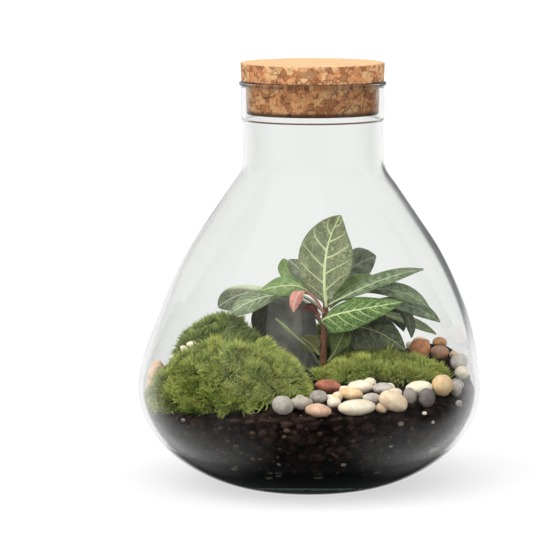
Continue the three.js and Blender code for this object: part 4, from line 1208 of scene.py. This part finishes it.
def moss_dome(outline, height, fullness, seed):
    """Rings of points over a moss cushion, from its crown to its rim, with lumps of its clumps."""
    rim = closed_curve(outline, MOSS_SIDES)
    centre = rim.mean(0)
    rates = np.linspace(0.02, 1, MOSS_RINGS) ** 0.85
    spots = centre + (rim - centre)[None] * rates[:, None, None]
    flat = spots.reshape(-1, 2)
    rate = np.repeat(rates, MOSS_SIDES)
    ground = within_glass(np.column_stack([flat, soil_height(*flat.T)]), MOSS_ROOM)
    swell = 1 + MOSS_SWELL * np.sin(flat[:, 0] * 0.17 + seed) * np.sin(flat[:, 1] * 0.15 + seed * 2)
    rise = MOSS_SKIRT + height * swell * (1 - rate ** MOSS_FLATNESS) ** fullness
    lump = MOSS_LUMP * (ripple(ground, 21, seed * 3, 9) + 0.6 * ripple(ground, 11, seed * 5, 9))
    points = np.column_stack([ground[:, :2], soil_height(ground[:, 0], ground[:, 1]) + rise])
    points[:, 2] += lump * smooth((1 - rate) / 0.25)
    return within_glass(points, MOSS_ROOM), rate


def moss_core(outline, height, fullness, seed):
    """A moss cushion's core, dark with painted shade: its points, the faces of its dome and all faces, and
    its map.
    """
    dome, rate = moss_dome(outline, height, fullness, seed)
    rim = dome[-MOSS_SIDES:]
    sunk = np.column_stack([rim[:, :2] * 0.97, soil_height(rim[:, 0], rim[:, 1]) - 1.5])
    crown = dome[:MOSS_SIDES].mean(0)
    points = np.vstack([dome, sunk, [crown], [(*sunk[:, :2].mean(0), sunk[:, 2].mean())]])
    around = bands(MOSS_RINGS, MOSS_SIDES)[:, [0, 3, 2, 1]]
    below = MOSS_RINGS * MOSS_SIDES
    tip = below + MOSS_SIDES
    faces = around.tolist() + fan(tip, 0, MOSS_SIDES) + fan(tip + 1, below, MOSS_SIDES, reverse=True)
    along_rim = 0.2 + 0.5 * np.tile(np.arange(MOSS_SIDES) / MOSS_SIDES, MOSS_RINGS + 1)
    values = np.column_stack([
        np.concatenate([along_rim, [0.4, 0.42]]),
        np.concatenate([0.02 + 0.2 * rate, np.zeros(MOSS_SIDES), [0.01, 0.03]]),
    ])
    return points, around[:-MOSS_SIDES], faces, values


def moss_shape(outline, height, fullness, seed, strands, tone, length, width):
    """A moss cushion: a core dark with painted shade, and fine curved strands that swirl in clumps."""
    core, quads, core_faces, core_values = moss_core(outline, height, fullness, seed)
    rng = np.random.default_rng(seed)
    # Where the strands grow: evenly over the dome's area
    corners = core[quads]
    outward = np.cross(corners[:, 1] - corners[:, 0], corners[:, 3] - corners[:, 0])
    area = np.linalg.norm(outward, axis=1)
    chosen = rng.choice(len(quads), strands, p=area / area.sum())
    u, v = rng.uniform(0, 1, (2, strands, 1))
    a, b, c, d = (corners[chosen, k] for k in range(4))
    root = (a * (1 - u) + b * u) * (1 - v) + (d * (1 - u) + c * u) * v
    normal = unit(outward[chosen])
    swirl = np.stack([ripple(root, MOSS_CLUMP, seed * 10 + k, 9) for k in range(3)], 1)
    loose = rng.normal(size=(strands, 3))
    heading = unit(normal + 0.75 * swirl + 0.4 * loose + (0, 0, 0.2))
    lengths = (length * rng.uniform(0.5, 1.4, strands) * (1 + 0.25 * ripple(root, 14, seed * 7)))[:, None]
    from_tuft = np.linalg.norm(root[:, :2] - TUFT[0], axis=1)
    lengths *= 1 + TUFT[2] * np.exp(-((from_tuft / TUFT[1]) ** 2))[:, None]
    bend = unit(swirl + 0.8 * loose[:, ::-1]) * 0.35 + (0, 0, -0.12)
    middle = root + heading * lengths * 0.5
    tip = root + heading * lengths * 0.9 + bend * lengths * 0.5
    across = unit(np.cross(heading, rng.normal(size=(strands, 3)))) * width / 2
    foot = root - normal * 0.8
    parts = [foot - across, foot + across, middle - across * 0.8, middle + across * 0.8, tip]
    blades = within_glass(np.stack(parts, 1).reshape(-1, 3), 0.6)
    # Strands at the rim lie on the soil and don't hang down along the glass
    blades[:, 2] = np.maximum(blades[:, 2], soil_height(blades[:, 0], blades[:, 1]) + 0.3)
    first = len(core) + np.arange(strands)[:, None] * 5
    squares = first + np.array([0, 1, 3, 2])
    tips = first + np.array([2, 3, 4])
    # The map: how yellow a strand is, and how far up it a point lies
    shade = np.clip(tone + 0.12 * ripple(root, 16, seed * 11) + 0.28 * rng.normal(size=strands), 0.02, 0.97)
    blade_u = shade[:, None] + np.array([0, 0.02, 0, 0.02, 0.01])
    blade_v = np.tile([0.0, 0.0, 0.55, 0.55, 1.0], (strands, 1))
    values = np.vstack([core_values, np.column_stack([blade_u.ravel(), blade_v.ravel()])])
    return np.vstack([core, blades]), core_faces + squares.tolist() + tips.tolist(), values


def stem_at(z):
    """The stem's centre at a height, and its radius there."""
    x, y, heights, radii = np.array(STEM, float).T
    centre = np.array([np.interp(z, heights, x), np.interp(z, heights, y), z])
    return centre, float(np.interp(z, heights, radii))


def blade_frame(right, along):
    """How a blade lies: square to its midrib, and square to its face."""
    across = unit(right - along * (along @ right)[:, None])
    return across, unit(np.cross(across, along))


def leaf_foot(z, turn, towards, right):
    """Where a leaf that heads for a point leaves the stem."""
    centre, radius = stem_at(z)
    out = np.array([math.cos(math.radians(turn)), math.sin(math.radians(turn)), 0])
    foot = centre + out * radius
    across, normal = blade_frame(right, unit(towards - foot)[None])
    room = PETIOLE_HALF * abs(out @ across[0]) + 0.4 * abs(out @ normal[0])
    return foot + out * (room + FOOT_ROOM)


def blade_faces(rows, columns):
    """Faces of a blade's upper side, of its lower side and of the edge around them."""
    below = rows * columns
    at = np.arange(below).reshape(rows, columns)
    top = np.stack([at[:-1, :-1], at[:-1, 1:], at[1:, 1:], at[1:, :-1]], -1).reshape(-1, 4)
    border = np.concatenate([at[:, 0], at[-1, 1:], at[-2::-1, -1], at[0, -2:0:-1]])
    ahead = np.roll(border, -1)
    edge = np.stack([border, ahead, ahead + below, border + below], 1)
    return top.tolist() + (top[:, ::-1] + below).tolist() + edge.tolist()


def vein_relief(look, start, v, reach, blade):
    """How far the blade bulges between its side veins, and its rib stands out."""
    spacing, width = LEAF_LOOKS[look][5:7]
    stagger = np.where(v > 0, VEIN_STAGGER, 0)
    off = np.abs((start / spacing + stagger) % 1 - 0.5) * 2
    in_blade = smooth(blade / 0.12)[:, None]
    quilt = LEAF_QUILT * (off - 0.5) * smooth(np.abs(v) / 0.3) * (1 - np.abs(v) ** 4) * in_blade
    rib = np.exp(-((v * reach) / (0.6 * width)) ** 2) * 0.45 * in_blade
    return (-quilt, rib) if look == "underside" else (quilt, -0.6 * rib)


def leaf_shape(name, thickness):
    """A leaf blade along its bent midrib, folded and waved, with relief between its veins."""
    look, z, turn, bends, half, widest, side, fold, wave, waves, petiole = LEAVES[name]
    right = unit(np.array(side, float))
    bends = np.array(bends, float)
    corners = np.vstack([leaf_foot(z, turn, bends[0], right), bends])
    length = float(np.linalg.norm(np.diff(corners, axis=0), axis=1).sum())
    rows = min(90, int(length / LEAF_STEP) + 8)
    columns = max(13, int(2 * half / LEAF_STEP) | 1)
    t = np.linspace(0, 1, rows)
    v = np.linspace(-1, 1, columns)
    centre = bezier(corners, rows - 1)
    across, normal = blade_frame(right, unit(np.gradient(centre, axis=0)))
    blade = np.clip((t - petiole) / (1 - petiole), 0, 1)
    power = math.log(0.5) / math.log(widest)
    narrowest = np.where(t == 1, TIP_HALF, PETIOLE_HALF)
    outline = half * np.maximum(np.sin(math.pi * blade ** power), 0) ** LEAF_FULLNESS
    half_here = np.maximum(narrowest, outline)
    shy = SHY_LEAVES.get(name, 0)
    left = mix(SHY_START, 1, smooth(t / shy)) if shy else np.ones(rows)
    reach = half_here[:, None] * np.where(v < 0, left[:, None], 1)
    rounded = np.sqrt(v * v + 0.01) - 0.1
    lift = math.sin(math.radians(fold)) * rounded * reach
    phase = np.where(v > 0, 0.6, 2.4)
    waved = wave * v * v * np.sin(2 * math.pi * waves * t[:, None] + phase) * np.sin(math.pi * blade)[:, None]
    # Side veins start at the midrib and sweep forward: where each starts, in millimetres
    along = walked(centre)[:, None]
    seed = sum(map(ord, name))
    flat = np.stack([np.broadcast_to(along, reach.shape), v * reach, np.zeros(reach.shape)], -1)
    wander = VEIN_WANDER * ripple(flat.reshape(-1, 3), 22, seed).reshape(reach.shape)
    start = along - VEIN_SLANT * length * np.abs(v) ** 1.25 + wander * np.abs(v)
    quilt, rib = vein_relief(look, start, v, reach, blade)
    height = lift + waved + quilt + rib
    level = centre[:, None] + across[:, None] * (v * reach * math.cos(math.radians(fold)))[..., None]
    level = level + normal[:, None] * height[..., None]
    thick = mix(PETIOLE_THICKNESS, thickness, smooth(blade / 0.1))[:, None] / 2 * np.sqrt(1 - 0.8 * v ** 8)
    upper = level + normal[:, None] * thick[..., None]
    lower = level - normal[:, None] * thick[..., None]
    points = np.vstack([upper.reshape(-1, 3), lower.reshape(-1, 3)])
    veins = np.stack([start / 100, np.broadcast_to(v * 0.5 + 0.5, start.shape)], -1).reshape(-1, 2)
    sizes = np.stack([np.broadcast_to(along / 100, start.shape), v * reach / 100 + 0.5], -1).reshape(-1, 2)
    sizes[:, 0] += seed % 7
    under = np.repeat([0.0, 1.0], rows * columns)
    return points, blade_faces(rows, columns), np.vstack([veins, veins]), np.vstack([sizes, sizes]), under


def stem_shape():
    """The stem, with a knot at each leaf's foot and a slightly crooked run."""
    foot_z, top_z = STEM[0][2], STEM[-1][2]
    knots = [leaf[1] for leaf in LEAVES.values()]
    turn = np.arange(STEM_SIDES) / STEM_SIDES * 2 * math.pi
    rings = []
    for z in np.arange(foot_z, top_z + 1.2, 0.8):
        centre, radius = stem_at(min(z, top_z))
        if z > top_z:
            radius *= 0.6
        swell = 0.35 * max(math.exp(-((z - knot + 1) / 1.6) ** 2) for knot in knots)
        wobble = 0.12 * np.sin(3 * turn + z * 0.5) + 0.1 * np.sin(5 * turn - z * 0.8)
        ring_r = radius + swell + wobble - 0.1
        x, y = centre[0] + ring_r * np.cos(turn), centre[1] + ring_r * np.sin(turn)
        rings.append(np.stack([x, y, np.full(STEM_SIDES, z)], 1))
    near = np.arange(STEM_SIDES)
    last = (len(rings) - 1) * STEM_SIDES
    faces = bands(len(rings) - 1, STEM_SIDES).tolist() + [(last + near).tolist(), near[::-1].tolist()]
    return np.vstack(rings), faces


def read(items, key):
    """A property of three numbers for all the points of a mesh."""
    values = np.zeros(len(items) * 3)
    items.foreach_get(key, values)
    return values.reshape(-1, 3)


def softened(node, levels, relief, size, seed, sharpness=0.0):
    """A finer, rounder copy of a solid's mesh in the solid's own box, with a slight relief."""
    rough = bpy.data.meshes.new(f"{node}_rough")
    shape = bmesh.new()
    shape.from_mesh(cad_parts[node].data)
    bmesh.ops.remove_doubles(shape, verts=shape.verts, dist=0.02 * MM)
    shape.to_mesh(rough)
    shape.free()
    helper = bpy.data.objects.new(f"{node}_rough", rough)
    bpy.context.scene.collection.objects.link(helper)
    helper.modifiers.new("Round", "SUBSURF").levels = levels
    if sharpness:
        for edge in rough.edges:
            edge.use_edge_sharp = False
        creases = rough.attributes.new("crease_edge", "FLOAT", "EDGE")
        creases.data.foreach_set("value", [sharpness] * len(rough.edges))
    bpy.context.view_layer.update()
    ready = helper.evaluated_get(bpy.context.evaluated_depsgraph_get()).to_mesh()
    points = read(ready.vertices, "co") / MM
    normals = read(ready.vertices, "normal")
    faces = [list(face.vertices) for face in ready.polygons]
    helper.to_mesh_clear()
    bpy.data.objects.remove(helper)
    bpy.data.meshes.remove(rough)
    low, high = (np.array(corner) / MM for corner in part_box(node))
    stretch = (high - low) / (points.max(0) - points.min(0))
    points = low + (points - points.min(0)) * stretch
    points += normals * (relief * ripple(points, size, seed, 9))[:, None]
    return points, faces


def colour_setting(name, description, *default):
    return bpy.props.FloatVectorProperty(
        name=name, description=description, subtype="COLOR", size=3, min=0, max=1, default=srgb(*default))


def colours_of(context, *names):
    """Colours from the settings."""
    return [tuple(getattr(context.scene.terrarium_colours, name)) for name in names]


def length_setting(name, description, millimetres, largest=20.0):
    return bpy.props.FloatProperty(
        name=name, description=description, subtype="DISTANCE", unit="LENGTH", precision=5,
        min=0, max=largest * MM, default=millimetres * MM)


def add_floor(scene, colour):
    half = FLOOR_HALF / MM
    corners = [(-half, -half, FLOOR_Z), (half, -half, FLOOR_Z), (half, half, FLOOR_Z), (-half, half, FLOOR_Z)]
    mesh = mesh_of("Floor", corners, [[0, 1, 2, 3]])
    floor = bpy.data.objects.new("Floor", mesh)
    scene.collection.objects.link(floor)
    mesh.materials.append(plain_floor_material(colour))
    floor.visible_glossy = False
    floor.visible_transmission = False


def add_light(scene, name, towards, spread, strength):
    lamp = bpy.data.lights.new(name, "SUN")
    lamp.angle = math.radians(spread)
    lamp.energy = strength
    light = bpy.data.objects.new(name, lamp)
    light.rotation_euler = (-Vector(towards)).to_track_quat("-Z", "Y").to_euler()
    light.visible_glossy = False
    scene.collection.objects.link(light)


def add_camera(scene):
    camera = bpy.data.objects.new("Camera", bpy.data.cameras.new("Camera"))
    camera.data.lens = CAMERA_LENS
    camera.data.clip_end = 200
    camera.location = CAMERA_AT
    camera.rotation_euler = (math.radians(90 - CAMERA_PITCH), 0, math.radians(CAMERA_YAW))
    scene.collection.objects.link(camera)
    scene.camera = camera


def studio_air():
    """The air's light, which shades the glass differently on its sides, in front and below."""
    world = bpy.data.worlds.new("Studio Air")
    world.use_nodes = True
    world.node_tree.nodes.clear()
    tree = Tree(world.node_tree)
    right, back, up = tree.parts(tree.add("ShaderNodeTexCoord").outputs["Generated"])
    across = tree.math("ABSOLUTE", right)
    steep = tree.larger(tree.fit(back, 0.8, 0.5), tree.fit(up, -0.3, -0.5))
    below = tree.times(tree.times(tree.fit(up, 0.0, -0.15), tree.fit(across, 0.55, 0.2)), steep)
    # A dark strip behind on the right draws the flask's right edge
    strip = tree.times(tree.fit(right, 0.1, 0.2), tree.fit(right, 0.6, 0.5))
    strip = tree.times(strip, tree.times(tree.fit(back, 0.3, 0.6), tree.fit(up, -0.08, 0.02)))
    sides = tree.times(tree.fit(across, 0.76, 0.96), tree.fit(up, 0.4, 0.15))
    # Seen through the glass from the front, the floor gives way to a backdrop as bright as it
    behind = tree.times(tree.fit(back, 0.4, 0.8), tree.fit(up, 0.06, 0.0))
    shade = tree.blend(behind, (1.0, 1.0, 1.0), WORLD_BEHIND)
    shade = tree.blend(sides, shade, WORLD_SIDES)
    shade = tree.blend(strip, shade, WORLD_STRIP)
    shade = tree.blend(tree.fit(back, -0.1, -0.8), shade, WORLD_FRONT)
    shade = tree.blend(below, shade, WORLD_BELOW)
    light = tree.add("ShaderNodeBackground", {"Color": shade, "Strength": WORLD_STRENGTH})
    tree.add("ShaderNodeOutputWorld", {"Surface": light.outputs[0]})
    return world


class TerrariumSizes(bpy.types.PropertyGroup):
    """Sizes that change how fine or full the planting looks."""

    moss_length: length_setting("Moss Strand Length", "Length of a strand of moss", 7.2)
    moss_width: length_setting("Moss Strand Width", "Width of a strand at its foot", 1.1, 3)
    moss_share: bpy.props.FloatProperty(
        name="Moss Density", description="Share of all the strands that is made", subtype="FACTOR",
        min=0.02, max=1, default=1)
    soil_relief: length_setting("Soil Relief", "Height of the soil's crumbs", 1.7, 4)
    crumbs: bpy.props.IntProperty(
        name="Soil Crumbs", description="Number of loose crumbs on the soil", min=0, max=1200, default=1100)
    gravel_stones: bpy.props.IntProperty(
        name="Gravel Stones", description="Number of stones along the glass at the bottom",
        min=0, max=1200, default=520)
    leaf_thickness: length_setting("Leaf Thickness", "Thickness of a leaf blade", 0.5, 2)


class TerrariumColours(bpy.types.PropertyGroup):
    """Colours of the materials."""

    glass: colour_setting("Glass Tint", "Faint tint of the glass", 244, 245, 243)
    cork_light: colour_setting("Cork, Light", "Light cork granules", 214, 174, 126)
    cork_warm: colour_setting("Cork, Warm", "Warm brown cork granules", 196, 134, 86)
    cork_dark: colour_setting("Cork, Dark", "Dark cork granules", 118, 64, 36)
    soil: colour_setting("Soil", "Soil crumbs", 43, 33, 31)
    soil_dark: colour_setting("Soil, Shade", "Moist soil between the crumbs", 22, 17, 16)
    soil_light: colour_setting("Soil, Fibre", "Light clods in the soil", 82, 62, 55)
    gravel: colour_setting("Gravel", "Wet drainage gravel", 30, 34, 34)
    moss_tip: colour_setting("Moss Tip", "Moss strands at their tips", 204, 214, 124)
    moss_middle: colour_setting("Moss", "Moss strands along their length", 116, 142, 58)
    moss_root: colour_setting("Moss Root", "Moss strands at their foot", 42, 56, 20)
    slate: colour_setting("Slate", "Faces of the slate", 106, 105, 98)
    stem: colour_setting("Stem", "Bark of the plant's stem", 130, 74, 40)
    floor: colour_setting("Floor", "The studio floor", 159, 159, 159)


class BuildGlass(bpy.types.Operator):
    """Build the blown glass vessel"""

    bl_idname = "terrarium.build_glass"
    bl_label = "Glass Vessel"

    def execute(self, context):
        material = glass_material(*colours_of(context, "glass"))
        dress("glass_vessel", turned(glass_profile(), FLASK_SIDES, lean), material)
        return {"FINISHED"}


class BuildCork(bpy.types.Operator):
    """Build the pressed cork stopper"""

    bl_idname = "terrarium.build_cork"
    bl_label = "Cork Stopper"

    def execute(self, context):
        material = cork_material(*colours_of(context, "cork_light", "cork_warm", "cork_dark"))
        dress("cork_stopper", cork_shape(), material)
        return {"FINISHED"}


class BuildGravel(bpy.types.Operator):
    """Build the drainage gravel under the soil"""

    bl_idname = "terrarium.build_gravel"
    bl_label = "Drainage Gravel"

    def execute(self, context):
        (gravel,) = colours_of(context, "gravel")
        bed = earth_material("Wet Gravel", shaded(gravel, 0.3), gravel, srgb(70, 74, 72), 0.2)
        dress("drainage_gravel", gravel_base(), bed)
        stones = bits_material("Gravel Stones", GRAVEL_SHADES, 0.45)
        heap = gravel_stones(context.scene.terrarium_sizes.gravel_stones)
        heap.piece("Gravel_Stones", stones, "gravel")
        return {"FINISHED"}


class BuildSoil(bpy.types.Operator):
    """Build the bed of soil"""

    bl_idname = "terrarium.build_soil"
    bl_label = "Soil"

    def execute(self, context):
        dark, mid, light = colours_of(context, "soil_dark", "soil", "soil_light")
        points, faces, pit, shade = soil_shape(context.scene.terrarium_sizes.soil_relief / MM)
        material = earth_material("Moist Soil", dark, mid, light, foot_shade=0.75)
        dress("soil", (points, faces), material, values=[("pit", pit), ("shade", shade)])
        return {"FINISHED"}


class BuildCrumbs(bpy.types.Operator):
    """Scatter crumbs, bark and white grains on the soil"""

    bl_idname = "terrarium.build_crumbs"
    bl_label = "Soil Crumbs"

    def execute(self, context):
        dark, mid = colours_of(context, "soil_dark", "soil")
        material = bits_material("Soil Crumbs", [(0.0, dark), (0.3, mid), *CRUMB_SHADES])
        heap = soil_crumbs(context.scene.terrarium_sizes.crumbs)
        heap.piece("Soil_Crumbs", material, "soil")
        return {"FINISHED"}


class BuildMoss(bpy.types.Operator):
    """Build the four cushions of moss"""

    bl_idname = "terrarium.build_moss"
    bl_label = "Moss"

    def execute(self, context):
        sizes = context.scene.terrarium_sizes
        length, width = sizes.moss_length / MM, sizes.moss_width / MM
        material = moss_material(*colours_of(context, "moss_root", "moss_middle", "moss_tip"))
        for node, (outline, height, fullness, seed, strands, tone) in MOSS.items():
            count = max(1, round(strands * sizes.moss_share))
            points, faces, values = moss_shape(outline, height, fullness, seed, count, tone, length, width)
            dress(node, (points, faces), material, maps=[("OFBake", values)])
        return {"FINISHED"}


class BuildSlate(bpy.types.Operator):
    """Build the standing slate"""

    bl_idname = "terrarium.build_slate"
    bl_label = "Slate"

    def execute(self, context):
        (slate,) = colours_of(context, "slate")
        points, faces = softened("slate_stone", 4, 0.25, 9, 61, 0.95)
        middle_x = (points[:, 0].min() + points[:, 0].max()) / 2
        points[:, 0] = middle_x + (points[:, 0] - middle_x) * SLATE_WIDENING
        material = stone_material("Slate", slate, shaded(slate, 0.5), 0.6, 90.0)
        dress("slate_stone", (points, faces), material, name="Slate")
        return {"FINISHED"}


class BuildStem(bpy.types.Operator):
    """Build the plant's stem"""

    bl_idname = "terrarium.build_stem"
    bl_label = "Stem"

    def execute(self, context):
        (stem,) = colours_of(context, "stem")
        dress("plant_stem", stem_shape(), stem_material(stem, shaded(stem, 0.4)))
        return {"FINISHED"}


class BuildLeaves(bpy.types.Operator):
    """Build the leaves of the plant"""

    bl_idname = "terrarium.build_leaves"
    bl_label = "Leaves"

    def execute(self, context):
        thickness = context.scene.terrarium_sizes.leaf_thickness / MM
        materials = {look: leaf_material(look) for look in LEAF_LOOKS}
        for node, leaf in LEAVES.items():
            points, faces, veins, sizes, under = leaf_shape(node, thickness)
            maps = [("LeafVeins", veins), ("LeafSize", sizes)]
            dress(node, (points, faces), materials[leaf[0]], maps, [("under", under)])
        return {"FINISHED"}


class BuildPebbles(bpy.types.Operator):
    """Build the pebbles and the stack of pebbles by the glass"""

    bl_idname = "terrarium.build_pebbles"
    bl_label = "Pebbles"

    def execute(self, context):
        materials = {
            colour: stone_material(f"Pebble {colour.title()}", srgb(*face), srgb(*shade))
            for colour, (face, shade) in STONE_COLOURS.items()
        }
        nodes = sorted(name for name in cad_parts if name.startswith("pebble_") and name[-1].isdigit())
        for k, (node, colour) in enumerate(zip(nodes, PEBBLE_COLOURS)):
            points, faces = softened(node, 2, 0.12, 6, 70 + k)
            foot_z = points[:, 2].min()
            points[:, 2] = foot_z + (points[:, 2] - foot_z) * FLAT_PEBBLES.get(node, 1)
            middle = (points.min(0) + points.max(0)) / 2
            dress(node, (middle + (points - middle) * PEBBLE_SWELL, faces), materials[colour])
        dress("pebble_stack_left", softened("pebble_stack_left", 2, 0.12, 6, 99), materials["peach"])
        for k, ((x, y, lift), size, colour) in enumerate(SMALL_STONES):
            points, faces = bumpy_ball(size, 120 + k, 3, 0.05)
            ground = float(soil_height(x, y)) + lift
            points = points + (x, y, ground + size[2] * 0.42)
            add_piece(f"Small_Stone_{k + 1:02d}", (points, faces), materials[colour])
        return {"FINISHED"}


class BuildStage(bpy.types.Operator):
    """Build the pale floor, the soft lights and the camera"""

    bl_idname = "terrarium.build_stage"
    bl_label = "Studio"

    def execute(self, context):
        scene = context.scene
        add_floor(scene, *colours_of(context, "floor"))
        for light in LIGHTS:
            add_light(scene, *light)
        scene.world = studio_air()
        scene.view_settings.view_transform = "Standard"
        add_camera(scene)
        return {"FINISHED"}


class TerrariumPanel(bpy.types.Panel):
    """Sizes, colours and pieces of the terrarium"""

    bl_idname = "VIEW3D_PT_terrarium"
    bl_label = "Terrarium"
    bl_space_type = "VIEW_3D"
    bl_region_type = "UI"
    bl_category = "Terrarium"

    def draw(self, context):
        for settings in (context.scene.terrarium_sizes, context.scene.terrarium_colours):
            box = self.layout.box()
            for name in settings.__annotations__:
                box.prop(settings, name)
        for operator in OPERATORS:
            self.layout.operator(operator.bl_idname)


OPERATORS = (
    BuildStage, BuildGlass, BuildCork, BuildGravel, BuildSoil, BuildCrumbs, BuildMoss,
    BuildSlate, BuildStem, BuildLeaves, BuildPebbles,
)
CLASSES = (TerrariumSizes, TerrariumColours, *OPERATORS, TerrariumPanel)


def register():
    for made in CLASSES:
        bpy.utils.register_class(made)
    bpy.types.Scene.terrarium_sizes = bpy.props.PointerProperty(type=TerrariumSizes)
    bpy.types.Scene.terrarium_colours = bpy.props.PointerProperty(type=TerrariumColours)


def unregister():
    del bpy.types.Scene.terrarium_colours
    del bpy.types.Scene.terrarium_sizes
    for made in reversed(CLASSES):
        bpy.utils.unregister_class(made)


def main():
    register()
    bpy.ops.terrarium.build_stage()
    bpy.ops.terrarium.build_glass()
    bpy.ops.terrarium.build_cork()
    bpy.ops.terrarium.build_gravel()
    bpy.ops.terrarium.build_soil()
    bpy.ops.terrarium.build_crumbs()
    bpy.ops.terrarium.build_moss()
    bpy.ops.terrarium.build_slate()
    bpy.ops.terrarium.build_stem()
    bpy.ops.terrarium.build_leaves()
    bpy.ops.terrarium.build_pebbles()


if __name__ == "__main__":
    main()
